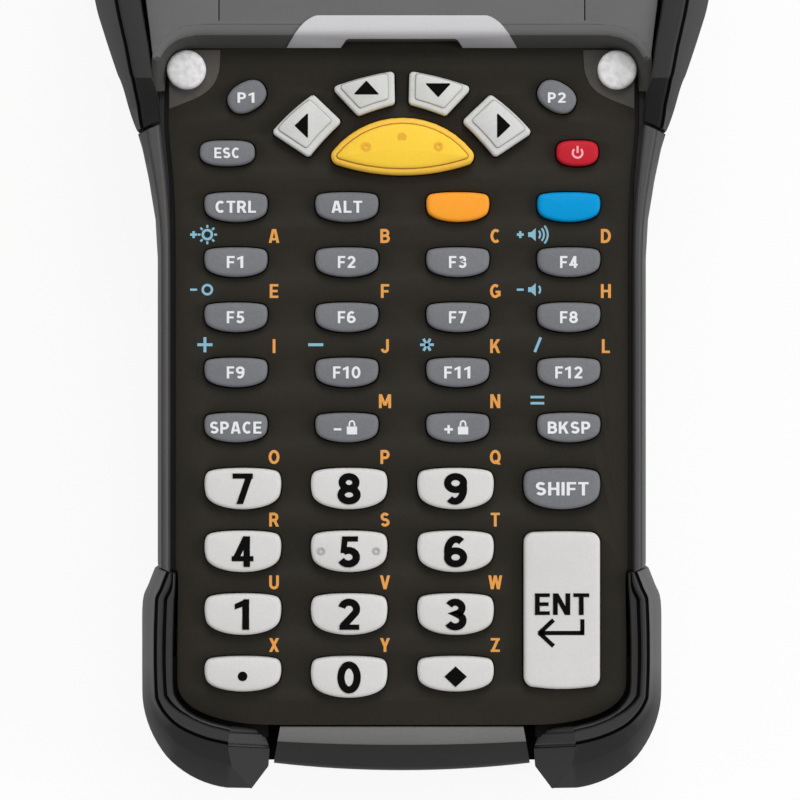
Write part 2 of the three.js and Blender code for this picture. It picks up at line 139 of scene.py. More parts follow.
PANEL = moulded("panel", (37, 34, 28), 0.55, 0.12, depth=0.03, mottle=0.2)
LAND = moulded("panel_land", (80, 77, 74), 0.6, 0.12, mottle=0.14)
FRAME_GREY = moulded("display_frame_grey", (104, 104, 104), 0.3, 0.12, depth=0.008, mottle=0.05)
# Painted shade: a darker copy of the frame grey, for the step's slope down to the keypad.
STEP_SHADE = moulded("step_band_painted_shade", (76, 76, 74), 0.6, 0.05, mottle=0.12)
RAIL = moulded("rail_grey", (74, 75, 74), 0.45, 0.15, mottle=0.1)
TUB = moulded("front_shell", (46, 46, 46), 0.6, 0.15, depth=0.04, mottle=0.12)
SHELL = moulded("rear_shell", (46, 46, 46), 0.6, 0.2, depth=0.04, mottle=0.12)
RUBBER = moulded("bumper_rubber", (46, 46, 46), 0.5, 0.2, depth=0.035, mottle=0.12)
# Bumper top; below the shoulder crease its colour is darkened as painted shade.
LEG_TOP_SHADED = moulded("bumper_top_painted_shade", (45, 45, 45), 0.55, 0.15, depth=0.035, mottle=0.12)
LEG_SIDE = moulded("bumper_side", (48, 48, 48), 0.5, 0.2, depth=0.035, mottle=0.12)
# Painted highlight: the corner bumpers' outer facet is a lighter copy of the rubber, where light falls on it;
# towards the lower corners it is darkened again as painted shade.
CORNER_SIDE_LIT_SHADED = moulded("corner_side_painted_light_and_shade", (80, 80, 80), 0.5, 0.22, depth=0.03, mottle=0.12)
CORNER_RIDGE = moulded("corner_ridge", (46, 46, 46), 0.5, 0.2, depth=0.03, mottle=0.12)
# Painted shade: near-black for the bumpers' creases and valleys and for the gap pieces, where shade falls.
CREASE_SHADE = moulded("bumper_crease_painted_shade", (14, 14, 14), 0.7, 0.05, mottle=0.15)
CORNER_RUBBER = moulded("corner_rubber", (42, 42, 42), 0.45, 0.25, depth=0.03, mottle=0.12)
BAR = moulded("end_bar_grey", (112, 112, 111), 0.45, 0.15, mottle=0.08)
# Painted shade: a dark copy of the end bar grey, for its slope below the ridge.
BAR_SLOPE_SHADE = moulded("end_bar_slope_painted_shade", (38, 38, 38), 0.55, 0.12, mottle=0.1)
GREY_KEY = moulded("key_grey", (117, 118, 122), 0.55, 0.15, depth=0.02, mottle=0.12)
LIGHT_KEY = key_plastic("key_light", (214, 213, 211), specular=0.15, mottle=0.05)
SILVER_KEY = key_plastic("key_silver", (209, 210, 207), 0.45, 0.15)
YELLOW_KEY = key_plastic("key_yellow", (255, 207, 66))
# Painted shade: a duller yellow for the scan key's rim and a darker one for the groove inside it.
YELLOW_RIM_SHADE = key_plastic("key_yellow_rim_painted_shade", (247, 197, 76), mottle=0.05)
YELLOW_GROOVE_SHADE = key_plastic("key_yellow_groove_painted_shade", (190, 140, 52), mottle=0.05)
ORANGE_KEY = key_plastic("key_orange", (255, 163, 50))
BLUE_KEY = key_plastic("key_blue", (0, 149, 212), specular=0.1)
RED_KEY = key_plastic("key_red", (192, 34, 48))
WHITE_INK = ink("white_ink", (232, 232, 235), 0.15, 0.02)
BLACK_INK = ink("black_ink", (6, 6, 6), 0.04, 0.05, 0.6)
ORANGE_INK = ink("orange_ink", (229, 158, 80))
BLUE_INK = ink("blue_ink", (136, 186, 205))
# Painted shade: a darker copy of the silver, for the sloping side of the arrow keys' raised face.
ARROW_STEP_SHADE = moulded("arrow_step_painted_shade", (168, 165, 164), 0.5, 0.15, mottle=0.05)
STEEL = moulded("screw_steel", (226, 225, 226), 0.6, 0.15, grain=1100, depth=0.05, mottle=0.3)
PLATE = moulded("nameplate_silver", (203, 203, 205), 0.4, 0.25, depth=0.008, mottle=0.04)
# Painted shade: a slightly darker copy of the nameplate silver, for where it bends down the step.
PLATE_SLOPE_SHADE = moulded("nameplate_slope_painted_shade", (196, 195, 200), 0.4, 0.2, depth=0.008, mottle=0.05)
# Near-black: the real colour of the display module and the dock connector, and painted shade on the block
# under the frame.
BLACK_AND_GAP_SHADE = moulded("black_and_painted_gap_shade", (12, 12, 12), 0.7, 0.05, mottle=0.1)
MAT_RUBBER = moulded("dome_mat", (26, 26, 26), 0.7, 0.1, mottle=0.1)
BOARD = moulded("circuit_board", (24, 78, 44), 0.5, 0.3, mottle=0.15)
GILT = moulded("contact_gilt", (205, 168, 92), 0.35, 0.5, grain=1800, depth=0.01, mottle=0.08, metallic=0.9)
LAMP = moulded("status_lamp", (150, 160, 150), 0.25, 0.4, depth=0.0, mottle=0.05, coat=0.5)
BATTERY = moulded("battery_shell", (38, 38, 38), 0.6, 0.2, depth=0.04, mottle=0.1)
LATCH = moulded("latch_grey", (120, 120, 124), 0.5, 0.25, mottle=0.06)
NUB = moulded("nub_shadow", (176, 174, 171), 0.5, 0.15, mottle=0.05)
DOT = moulded("scan_dot", (232, 178, 60), 0.5, 0.12, mottle=0.05)
PALE_RED = ink("power_ink", (250, 170, 178), 0.15, 0.03)


def paint_shade_along_y(material, y_light, y_dark, share):
    """Paints shade into a material: deepens its colour along Y, between two places in mm, down to a share of
    it.
    """
    nodes = material.node_tree.nodes
    links = material.node_tree.links
    socket = nodes["Principled BSDF"].inputs["Base Color"]
    colour = socket.links[0].from_socket
    coords = nodes.new("ShaderNodeTexCoord")
    split = nodes.new("ShaderNodeSeparateXYZ")
    links.new(coords.outputs["Object"], split.inputs["Vector"])
    shade_ramp = nodes.new("ShaderNodeMapRange")
    shade_ramp.inputs["From Min"].default_value = y_dark * MM
    shade_ramp.inputs["From Max"].default_value = y_light * MM
    shade_ramp.inputs["To Min"].default_value = share
    shade_ramp.inputs["To Max"].default_value = 1.0
    links.new(split.outputs["Y"], shade_ramp.inputs["Value"])
    scaled = nodes.new("ShaderNodeVectorMath")
    scaled.operation = "SCALE"
    links.new(colour, scaled.inputs[0])
    links.new(shade_ramp.outputs["Result"], scaled.inputs["Scale"])
    links.new(scaled.outputs["Vector"], socket)


# Painted shade: below the shoulder crease the head bumper's top is darkened in colour where it turns away
# from the light, and the lower corners' outer facets are darkened likewise.
paint_shade_along_y(LEG_TOP_SHADED, -11.65, -11.85, 0.32)
paint_shade_along_y(CORNER_SIDE_LIT_SHADED, -97, -104, 0.12)


def glassy(name, rgb, roughness=0.06):
    """A dark pane seen from outside: nearly black behind a polished coat, with faint smears."""
    material = moulded(name, rgb, roughness + 0.1, 0.35, grain=300, depth=0.0, mottle=0.15, coat=0.6)
    material.node_tree.nodes["Principled BSDF"].inputs["Coat Roughness"].default_value = roughness
    return material


SCREEN = glassy("screen_dark", (20, 24, 28))
GLASS_BORDER = glassy("glass_border", (9, 9, 10))
SCAN_GLASS = glassy("scan_glass", (64, 8, 14))

# ---- Mesh helpers -----------------------------------------------------------


def add_object(name, data):
    obj = bpy.data.objects.new(name, data)
    bpy.context.scene.collection.objects.link(obj)
    return obj


def finish_piece(obj, body, replaces=()):
    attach(obj, body)
    if replaces:
        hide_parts(*replaces)
    return obj


def shade(mesh, sharp_angle):
    """Smooth shading, with a hard edge wherever two faces meet at more than the angle."""
    work = bmesh.new()
    work.from_mesh(mesh)
    limit = math.radians(sharp_angle)
    for face in work.faces:
        face.smooth = True
    for edge in work.edges:
        edge.smooth = len(edge.link_faces) == 2 and edge.calc_face_angle(0) < limit
    work.to_mesh(mesh)
    work.free()


def mesh_object(name, points, faces, materials, sharp_angle=32):
    """points are in millimetres. Faces are made to point outwards."""
    mesh = bpy.data.meshes.new(name)
    mesh.from_pydata([[c * MM for c in p] for p in points], [], faces)
    work = bmesh.new()
    work.from_mesh(mesh)
    bmesh.ops.recalc_face_normals(work, faces=work.faces)
    work.to_mesh(mesh)
    work.free()
    for material in materials if isinstance(materials, (list, tuple)) else [materials]:
        mesh.materials.append(material)
    shade(mesh, sharp_angle)
    return add_object(name, mesh)


def loft(name, rings, materials, sharp_angle=32, tip=None, slots=None, columns=None):
    """Joins rings of points, each (x, y, z), from the first to the last. tip closes the last one.

    slots gives a material to each step between rings, and columns to each step around them.
    """
    count = len(rings[0])
    points = [p for ring in rings for p in ring]
    faces = []
    kinds = []
    for i in range(len(rings) - 1):
        for j in range(count):
            k = (j + 1) % count
            faces.append((i * count + j, i * count + k, (i + 1) * count + k, (i + 1) * count + j))
            kinds.append(columns[j] if columns else slots[i] if slots else 0)
    faces.append(tuple(range(count - 1, -1, -1)))
    kinds.append(0)
    last = (len(rings) - 1) * count
    if tip:
        points.append(tip)
        faces += [(last + j, last + (j + 1) % count, len(points) - 1) for j in range(count)]
        kinds += [slots[-1] if slots else 0] * count
    else:
        faces.append(tuple(range(last, last + count)))
        kinds.append(slots[-1] if slots else 0)
    obj = mesh_object(name, points, faces, materials, sharp_angle)
    for polygon, kind in zip(obj.data.polygons, kinds):
        polygon.material_index = kind
    return obj


def offset(outline, distance):
    """Moves each edge of an anticlockwise outline outwards, or inwards when the distance is negative."""
    count = len(outline)
    result = []
    for i, (x, y) in enumerate(outline):
        normals = []
        for (ax, ay), (bx, by) in ((outline[i - 1], (x, y)), ((x, y), outline[(i + 1) % count])):
            length = math.hypot(bx - ax, by - ay)
            normals.append(((by - ay) / length, (ax - bx) / length))
        (nx, ny), (mx, my) = normals
        scale = distance / (1 + nx * mx + ny * my)
        result.append((x + (nx + mx) * scale, y + (ny + my) * scale))
    return result


def moved(outline, x, y):
    return [(px + x, py + y) for px, py in outline]


def sided(side, outline):
    """An outline drawn on the right, for the right (1) or the left (-1)."""
    return [(side * x, y) for x, y in outline]


def mirrored(outline):
    return [(-x, y) for x, y in reversed(outline)]


def turned(outline, degrees):
    c = math.cos(math.radians(degrees))
    s = math.sin(math.radians(degrees))
    return [(x * c - y * s, x * s + y * c) for x, y in outline]


def area(outline):
    return sum(x * outline[(i + 1) % len(outline)][1] - outline[(i + 1) % len(outline)][0] * y
               for i, (x, y) in enumerate(outline)) / 2


def anticlockwise(outline):
    return list(reversed(outline)) if area(outline) < 0 else list(outline)


def curve_power(angle, power):
    """The point at an angle on |x|^n + |y|^n = 1."""
    c = math.cos(angle)
    s = math.sin(angle)
    return (math.copysign(abs(c) ** (2 / power), c), math.copysign(abs(s) ** (2 / power), s))


def corner(centre, radius_x, radius_y, start, end, steps, power=2):
    """Part of a superellipse from one angle to another, in degrees."""
    points = []
    for i in range(steps + 1):
        x, y = curve_power(math.radians(start + (end - start) * i / steps), power)
        points.append((centre[0] + radius_x * x, centre[1] + radius_y * y))
    return points


BUCKET = [(0.45, 0.975), (0.8, 0.89), (0.945, 0.74), (1, 0.38), (0.985, -0.12), (0.91, -0.48),
          (0.7, -0.76), (0.37, -0.94)]


def bucket(width, height, steps=3):
    """A key's outline: a boxy upper half and a lower half that bows down."""
    half = [(x * width / 2, y * height / 2) for x, y in BUCKET]
    corners = [(0, height / 2)] + half + [(0, -height / 2)] + mirrored(half)
    points = []
    for i in range(len(corners)):
        p0, p1, p2, p3 = (Vector(corners[(i + k) % len(corners)]) for k in (-1, 0, 1, 2))
        for k in range(steps):
            points.append(tuple(between(p0, p1, p2, p3, k / steps)))
    return anticlockwise(points)


def oval(width, height, upper, lower, count=56):
    """A key's outline as two halves of superellipses."""
    points = []
    for i in range(count):
        angle = 2 * math.pi * i / count
        x, y = curve_power(angle, upper if math.sin(angle) >= 0 else lower)
        points.append((x * width / 2, y * height / 2))
    return points


def between(p0, p1, p2, p3, t):
    """A point of the Catmull-Rom curve from p1 to p2."""
    return 0.5 * (2 * p1 + (p2 - p0) * t + (2 * p0 - 5 * p1 + 4 * p2 - p3) * t * t
                  + (3 * p1 - p0 - 3 * p2 + p3) * t ** 3)


def smooth_path(points, steps):
    """A curve through given points, as Catmull-Rom pieces."""
    ends = [points[0]] + list(points) + [points[-1]]
    result = []
    for i in range(1, len(ends) - 2):
        p0, p1, p2, p3 = (Vector(p) for p in ends[i - 1:i + 3])
        result += [tuple(between(p0, p1, p2, p3, k / steps)) for k in range(steps)]
    result.append(tuple(points[-1]))
    return result


def rounded(corners, radius, steps=6, bows=None):
    """A convex polygon with its corners rounded. bows pushes the middle of each side outwards."""
    runs = []
    for i, here in enumerate(corners):
        before = (Vector(corners[i - 1]) - Vector(here)).normalized()
        after = (Vector(corners[(i + 1) % len(corners)]) - Vector(here)).normalized()
        half = before.angle(after) / 2
        reach = radius / math.tan(half)
        start = Vector(here) + before * reach
        end = Vector(here) + after * reach
        centre = Vector(here) + (before + after).normalized() * radius / math.sin(half)
        a0 = math.atan2(*(start - centre).yx)
        a1 = math.atan2(*(end - centre).yx)
        if a1 < a0:
            a1 += 2 * math.pi
        runs.append([(centre.x + radius * math.cos(a0 + (a1 - a0) * k / steps),
                      centre.y + radius * math.sin(a0 + (a1 - a0) * k / steps)) for k in range(steps + 1)])
    points = []
    for i, run in enumerate(runs):
        points += run
        if bows:
            first = Vector(run[-1])
            side = Vector(runs[(i + 1) % len(runs)][0]) - first
            out = Vector((side.y, -side.x)).normalized()
            for t in (0.2, 0.4, 0.6, 0.8):
                points.append(tuple(first + side * t + out * bows[i] * 4 * t * (1 - t)))
    return points


def rectangle(width, height):
    return [(x * width / 2, y * height / 2) for x, y in ((-1, -1), (1, -1), (1, 1), (-1, 1))]


def rounded_box(width, height, radius, steps=6):
    return rounded(rectangle(width, height), radius, steps)


def circle(radius, count=32):
    return [(radius * math.cos(2 * math.pi * i / count), radius * math.sin(2 * math.pi * i / count))
            for i in range(count)]


def plate(name, loops, low, high, material, edge=0.0, resolution=2, sharp_angle=32):
    """A flat plate between two heights. Loops inside the first one are holes, and edge rounds its rims."""
    curve = bpy.data.curves.new(name + "_outline", "CURVE")
    curve.dimensions = "2D"
    curve.fill_mode = "BOTH"
    curve.extrude = (high - low) / 2 * MM - edge * MM
    curve.bevel_depth = edge * MM
    curve.bevel_resolution = resolution
    curve.offset = -edge * MM
    for loop in loops:
        spline = curve.splines.new("POLY")
        spline.points.add(len(loop) - 1)
        spline.use_cyclic_u = True
        for point, (x, y) in zip(spline.points, loop):
            point.co = (x * MM, y * MM, 0, 1)
    holder = add_object(name + "_curve", curve)
    bpy.context.view_layer.update()
    depsgraph = bpy.context.evaluated_depsgraph_get()
    mesh = bpy.data.meshes.new_from_object(holder.evaluated_get(depsgraph))
    bpy.data.objects.remove(holder)
    bpy.data.curves.remove(curve)
    mesh.name = name
    mesh.transform(Matrix.Translation((0, 0, (low + high) / 2 * MM)))
    work = bmesh.new()
    work.from_mesh(mesh)
    bmesh.ops.remove_doubles(work, verts=work.verts, dist=1e-7)
    work.to_mesh(mesh)
    work.free()
    mesh.materials.clear()
    mesh.materials.append(material)
    shade(mesh, sharp_angle)
    return add_object(name, mesh)


def join(name, objects):
    """One object from several, with each one's materials kept."""
    mesh = bpy.data.meshes.new(name)
    work = bmesh.new()
    materials = []
    for obj in objects:
        start = len(work.faces)
        work.from_mesh(obj.data)
        work.faces.ensure_lookup_table()
        index = []
        for material in obj.data.materials:
            if material not in materials:
                materials.append(material)
            index.append(materials.index(material))
        for face in work.faces[start:]:
            face.material_index = index[face.material_index]
    work.to_mesh(mesh)
    work.free()
    for material in materials:
        mesh.materials.append(material)
    for obj in objects:
        old = obj.data
        bpy.data.objects.remove(obj)
        bpy.data.meshes.remove(old)
    return add_object(name, mesh)


STROKE = 0.2
EDGE = STROKE / 2


def arc(cx, cy, rx, ry, start, end, steps=12):
    return [(cx + rx * math.cos(math.radians(start + (end - start) * i / steps)),
             cy + ry * math.sin(math.radians(start + (end - start) * i / steps))) for i in range(steps + 1)]


def stem(x, top=1):
    return ("fill", [(x, 0), (x + STROKE, 0), (x + STROKE, top), (x, top)])


BAR_HALF_HEIGHT = 0.085


def cross_bar(x0, x1, y):
    low = y - BAR_HALF_HEIGHT
    high = y + BAR_HALF_HEIGHT
    return ("fill", [(x0, low), (x1, low), (x1, high), (x0, high)])


def slant(x0, y0, x1, y1):
    """A leaning stroke with level ends."""
    half = EDGE * math.hypot(1, (x1 - x0) / (y1 - y0))
    return ("fill", [(x0 - half, y0), (x0 + half, y0), (x1 + half, y1), (x1 - half, y1)])


def line(*runs):
    return ("line", [p for run in runs for p in run])


def ring(cx, cy, rx, ry):
    return ("ring", arc(cx, cy, rx, ry, 0, 360, 28)[:-1])


def bowl(x, top, bottom, reach):
    return line([(EDGE, top), (x, top)], arc(x, (top + bottom) / 2, reach, (top - bottom) / 2, 90, -90)[1:],
                [(EDGE, bottom)])


# Each capital or digit is one high: its width, then its strokes.
GLYPHS = {
    "A": (0.78, [slant(0.11, 0, 0.34, 1), slant(0.67, 0, 0.44, 1), cross_bar(0.2, 0.58, 0.27)]),
    "B": (0.68, [stem(0), bowl(0.35, 0.91, 0.52, 0.2), bowl(0.37, 0.52, 0.09, 0.22)]),
    "C": (0.7, [line(arc(0.38, 0.5, 0.28, 0.41, 48, 312))]),
    "D": (0.72, [stem(0), bowl(0.3, 0.91, 0.09, 0.32)]),
    "E": (0.62, [stem(0), cross_bar(0, 0.62, 0.915), cross_bar(0, 0.57, 0.5), cross_bar(0, 0.62, 0.085)]),
    "F": (0.6, [stem(0), cross_bar(0, 0.6, 0.915), cross_bar(0, 0.55, 0.48)]),
    "G": (0.76, [line(arc(0.38, 0.5, 0.28, 0.41, 50, 325)), cross_bar(0.4, 0.76, 0.44),
                 ("fill", [(0.57, 0.08), (0.76, 0.14), (0.76, 0.5), (0.57, 0.5)])]),
    "H": (0.72, [stem(0), stem(0.52), cross_bar(0, 0.72, 0.5)]),
    "I": (0.2, [stem(0)]),
    "J": (0.56, [line([(0.46, 1), (0.46, 0.3)], arc(0.27, 0.3, 0.19, 0.2, 0, -180)[1:])]),
    "K": (0.74, [stem(0), slant(0.17, 0.36, 0.6, 1), slant(0.62, 0, 0.34, 0.62)]),
    "L": (0.58, [stem(0), cross_bar(0, 0.58, 0.085)]),
    "M": (0.88, [stem(0), stem(0.68), slant(0.44, 0.18, 0.12, 1), slant(0.44, 0.18, 0.76, 1)]),
    "N": (0.72, [stem(0), stem(0.52), slant(0.61, 0, 0.11, 1)]),
    "O": (0.78, [ring(0.39, 0.5, 0.29, 0.41)]),
    "P": (0.66, [stem(0), bowl(0.35, 0.91, 0.44, 0.21)]),
    "Q": (0.78, [ring(0.39, 0.5, 0.29, 0.41), slant(0.67, -0.04, 0.44, 0.28)]),
    "R": (0.7, [stem(0), bowl(0.35, 0.91, 0.46, 0.21), slant(0.6, 0, 0.38, 0.46)]),
    "S": (0.66, [line(arc(0.33, 0.705, 0.22, 0.205, 28, 270), arc(0.33, 0.3, 0.23, 0.2, 90, -155)[1:])]),
    "T": (0.66, [stem(0.23), cross_bar(0, 0.66, 0.915)]),
    "U": (0.7, [line([(0.1, 1), (0.1, 0.36)], arc(0.35, 0.36, 0.25, 0.27, 180, 360)[1:], [(0.6, 1)])]),
    "V": (0.74, [slant(0.37, 0, 0.11, 1), slant(0.37, 0, 0.63, 1)]),
    "W": (1.0, [slant(0.28, 0, 0.1, 1), slant(0.28, 0, 0.5, 1), slant(0.72, 0, 0.5, 1),
                slant(0.72, 0, 0.9, 1)]),
    "X": (0.72, [slant(0.11, 0, 0.61, 1), slant(0.61, 0, 0.11, 1)]),
    "Y": (0.72, [slant(0.36, 0.38, 0.11, 1), slant(0.36, 0.38, 0.61, 1), stem(0.26, 0.46)]),
    "Z": (0.66, [cross_bar(0, 0.66, 0.915), cross_bar(0, 0.66, 0.085), slant(0.14, 0.08, 0.52, 0.92)]),
    "0": (0.72, [ring(0.36, 0.5, 0.255, 0.41)]),
    "1": (0.62, [("fill", [(0.3, 0), (0.52, 0), (0.52, 1), (0.36, 1), (0.3, 0.94)]),
                 ("fill", [(0.06, 0.66), (0.32, 0.76), (0.4, 1), (0.06, 0.84)])]),
    "2": (0.72, [line(arc(0.36, 0.68, 0.235, 0.225, 168, -38), [(0.17, 0.12)]),
                 cross_bar(0.06, 0.68, 0.085)]),
    "3": (0.72, [line(arc(0.35, 0.715, 0.21, 0.19, 155, -90), arc(0.35, 0.305, 0.24, 0.21, 90, -155)[1:])]),
    "4": (0.74, [("fill", [(0.4, 0), (0.61, 0), (0.61, 1), (0.4, 1)]), cross_bar(0.02, 0.72, 0.27),
                 slant(0.14, 0.24, 0.5, 1)]),
    "5": (0.72, [cross_bar(0.14, 0.64, 0.915),
                 ("fill", [(0.09, 0.45), (0.28, 0.45), (0.32, 0.95), (0.14, 0.95)]),
                 line(arc(0.34, 0.32, 0.25, 0.225, 128, -155))]),
    "6": (0.72, [ring(0.36, 0.315, 0.25, 0.215), line(arc(0.38, 0.5, 0.27, 0.41, 52, 205))]),
    "7": (0.72, [cross_bar(0.05, 0.68, 0.915), slant(0.27, 0, 0.56, 0.88)]),
    "8": (0.72, [ring(0.36, 0.705, 0.215, 0.195), ring(0.36, 0.3, 0.25, 0.2)]),
    "9": (0.72, [ring(0.36, 0.685, 0.25, 0.215), line(arc(0.34, 0.5, 0.27, 0.41, 232, 385))]),
}


def ribbon(points, closed, weight):
    """The two edges of a stroke along a path."""
    left = []
    right = []
    count = len(points)
    for i, here in enumerate(points):
        here = Vector(here)
        before = Vector(points[i - 1]) if closed or i else here * 2 - Vector(points[1])
        after = Vector(points[(i + 1) % count]) if closed or i < count - 1 else here * 2 - Vector(points[-2])
        a = (here - before).normalized()
        b = (after - here).normalized()
        normal = Vector((-a.y - b.y, a.x + b.x))
        normal *= weight * EDGE * 2 / max(normal.length_squared, 0.4)
        left.append(here + normal)
        right.append(here - normal)
    return left, right


LETTER_GAP = 0.13
STROKE_LIFT = 0.003


def lettering(name, text, height, x, y, low, high, material, width=None, weight=1):
    """Bold capitals or digits of a given height, centred on a point. width stretches the word to fit.

    Each stroke lies a hair above the one before, so that crossing strokes never share a face.
    """
    advance = 0
    points = []
    faces = []
    layer = 0.0
    for letter in text:
        glyph_width, strokes = GLYPHS[letter]
        for kind, path in strokes:
            layer += STROKE_LIFT
            start = len(points)
            if kind == "fill":
                loop = anticlockwise(path)
                count = len(loop)
                points += [(px + advance, py, high + layer) for px, py in loop]
                points += [(px + advance, py, low) for px, py in loop]
                faces.append(tuple(range(start, start + count)))
                faces.append(tuple(range(start + 2 * count - 1, start + count - 1, -1)))
                faces += [(start + i, start + (i + 1) % count, start + count + (i + 1) % count,
                           start + count + i)
                          for i in range(count)]
                continue
            left, right = ribbon(path, kind == "ring", weight)
            count = len(left)
            for z in (high + layer, low):
                points += [(p.x + advance, p.y, z) for p in left] + [(p.x + advance, p.y, z) for p in right]
            for i in range(count if kind == "ring" else count - 1):
                k = (i + 1) % count
                a, b, c, d = start + i, start + k, start + count + k, start + count + i
                drop = 2 * count
                faces += [(a, b, c, d), (a + drop, d + drop, c + drop, b + drop), (a, a + drop, b + drop, b),
                          (d, c, c + drop, d + drop)]
            if kind == "line":
                for i in (0, count - 1):
                    a, d = start + i, start + count + i
                    faces.append((a, d, d + 2 * count, a + 2 * count))
        advance += glyph_width + LETTER_GAP
    total = advance - LETTER_GAP
    scale = (width / total if width else height, height)
    placed = [(x + (px - total / 2) * scale[0], y + (py - 0.5) * scale[1], z) for px, py, z in points]
    return mesh_object(name, placed, faces, material, 40)


def packed_mesh(node, name, material, cut_height=None):
    """A copy of a CAD node's mesh, cleaned of its triangles. With cut_height, only the part below it."""
    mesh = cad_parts[node].data.copy()
    mesh.name = name
    work = bmesh.new()
    work.from_mesh(mesh)
    bmesh.ops.remove_doubles(work, verts=work.verts, dist=2e-6)
    if cut_height:
        sliced = bmesh.ops.bisect_plane(work, geom=work.verts[:] + work.edges[:] + work.faces[:],
                                        plane_co=(0, 0, cut_height * MM), plane_no=(0, 0, 1),
                                        clear_outer=True)
        rim = [e for e in sliced["geom_cut"] if isinstance(e, bmesh.types.BMEdge)]
        bmesh.ops.triangle_fill(work, edges=rim, normal=(0, 0, 1), use_beauty=True)
    bmesh.ops.dissolve_limit(work, angle_limit=math.radians(1), verts=work.verts, edges=work.edges)
    work.to_mesh(mesh)
    work.free()
    mesh.materials.clear()
    mesh.materials.append(material)
    for polygon in mesh.polygons:
        polygon.material_index = 0
        polygon.use_smooth = True
    return mesh


def refined(node, name, material, edge, segments=3, angle=28):
    """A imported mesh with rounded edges."""
    mesh = packed_mesh(node, name, material)
    obj = add_object(name, mesh)
    rounding = obj.modifiers.new("rounded_edges", "BEVEL")
    rounding.width = edge * MM
    rounding.segments = segments
    rounding.limit_method = "ANGLE"
    rounding.angle_limit = math.radians(angle)
    rounding.use_clamp_overlap = True
    smoothing = obj.modifiers.new("even_shading", "WEIGHTED_NORMAL")
    smoothing.keep_sharp = True
    return obj


# ---- Keys -------------------------------------------------------------------

TEXT_PROUD = 0.03
LEGEND_DEPTH = 0.4
SMALL_CROWN = 0.12
NUMBER_CROWN = 0.15
GREY_TEXT = 1.75
DIGIT = 4.45
FLANGE = 0.95
RIM_STEPS = 4
CROWN_RINGS = (0.85, 0.65, 0.4, 0.2)
keys = []


def key_centre(node):
    low, high = box_mm(node)
    return (low.x + high.x) / 2, (low.y + high.y) / 2, high.z


def make_key(name, outline, material, crown=SMALL_CROWN, edge=0.55):
    """A key cap: straight sides, a rounded rim and a slightly domed top."""
    body = "key_" + name
    low, high = box_mm(body)
    outline = anticlockwise(outline)
    top = high.z
    rings = [(0, low.z), (0, top - edge)]
    for k in range(1, RIM_STEPS + 1):
        angle = math.pi / 2 * k / RIM_STEPS
        rings.append((edge * (1 - math.cos(angle)), top - edge + edge * math.sin(angle)))
    loops = [[(x, y, z) for x, y in offset(outline, -inset)] for inset, z in rings]
    inner = offset(outline, -edge)
    cx = sum(x for x, _ in inner) / len(inner)
    cy = sum(y for _, y in inner) / len(inner)
    for share in CROWN_RINGS:
        rise = crown * (1 - share ** 2)
        loops.append([(cx + (x - cx) * share, cy + (y - cy) * share, top + rise) for x, y in inner])
    obj = loft(body + "_cap", loops, material, 40, tip=(cx, cy, top + crown))
    finish_piece(obj, body, [body])
    keys.append(outline)


def cap_size(name):
    """The size of a key's cap: its box without the flange that holds it under the panel."""
    low, high = box_mm("key_" + name)
    return high.x - low.x - 2 * FLANGE, high.y - low.y - 2 * FLANGE


def at_key(name, outline):
    cx, cy, _ = key_centre("key_" + name)
    return moved(outline, cx, cy)


def bucket_key(name, material, crown=SMALL_CROWN):
    make_key(name, at_key(name, bucket(*cap_size(name))), material, crown)


def oval_key(name, material):
    make_key(name, at_key(name, oval(*cap_size(name), 3.4, 2.5)), material)


def legend(name, text, height, material, width=None, dy=0, crown=SMALL_CROWN, weight=1):
    body = "key_" + name
    cx, cy, top = key_centre(body)
    obj = lettering(body + "_legend", text, height, cx, cy + dy, top - LEGEND_DEPTH,
                    top + crown + TEXT_PROUD, material, width, weight)
    return finish_piece(obj, body)


small_legends = {"ctrl": ("CTRL", 5.9), "alt": ("ALT", 4.5), "space": ("SPACE", 7.5),
                 "backspace": ("BKSP", 6.2)}
for i in range(1, 13):
    small_legends[f"f{i}"] = (f"F{i}", 2.6 if i < 10 else 4.0)
for name, (text, width) in small_legends.items():
    bucket_key(name, GREY_KEY)
    legend(name, text, GREY_TEXT, WHITE_INK, width)
for name, material in (("orange", ORANGE_KEY), ("blue", BLUE_KEY), ("lock_minus", GREY_KEY),
                       ("lock_plus", GREY_KEY)):
    bucket_key(name, material)

for name in "0123456789":
    bucket_key(name, LIGHT_KEY, NUMBER_CROWN)
    legend(name, name, DIGIT, BLACK_INK, 2.85 if name == "1" else 3.35, crown=NUMBER_CROWN, weight=1.14)
for name in ("point", "diamond"):
    bucket_key(name, LIGHT_KEY, NUMBER_CROWN)
bucket_key("shift", GREY_KEY, NUMBER_CROWN)
legend("shift", "SHIFT", 1.95, WHITE_INK, 7.7, crown=NUMBER_CROWN)

enter_width, enter_height = cap_size("enter")
enter_corners = [(-enter_width / 2, -enter_height / 2 + 0.35), (enter_width / 2, -enter_height / 2 + 0.35),
                 (enter_width / 2, enter_height / 2 - 0.1), (-enter_width / 2, enter_height / 2 - 0.1)]
ENTER_CROWN = 0.1
make_key("enter", at_key("enter", rounded(enter_corners, 1.5, 8, bows=(0.3, 0, 0.1, 0))), LIGHT_KEY,
         ENTER_CROWN)
legend("enter", "ENT", 3.15, BLACK_INK, 7.9, dy=0.95)

oval_key("escape", GREY_KEY)
legend("escape", "ESC", 1.55, WHITE_INK, 3.7)
oval_key("power", RED_KEY)
PROGRAM_KEY = (5.9, 4.2)
PROGRAM_TILT = 30
for side, name in ((-1, "p1"), (1, "p2")):
    make_key(name, at_key(name, turned(oval(*PROGRAM_KEY, 2.3, 2.3), -side * PROGRAM_TILT)), GREY_KEY)
    legend(name, name.upper(), 1.5, WHITE_INK, 2.65, dy=-0.2)


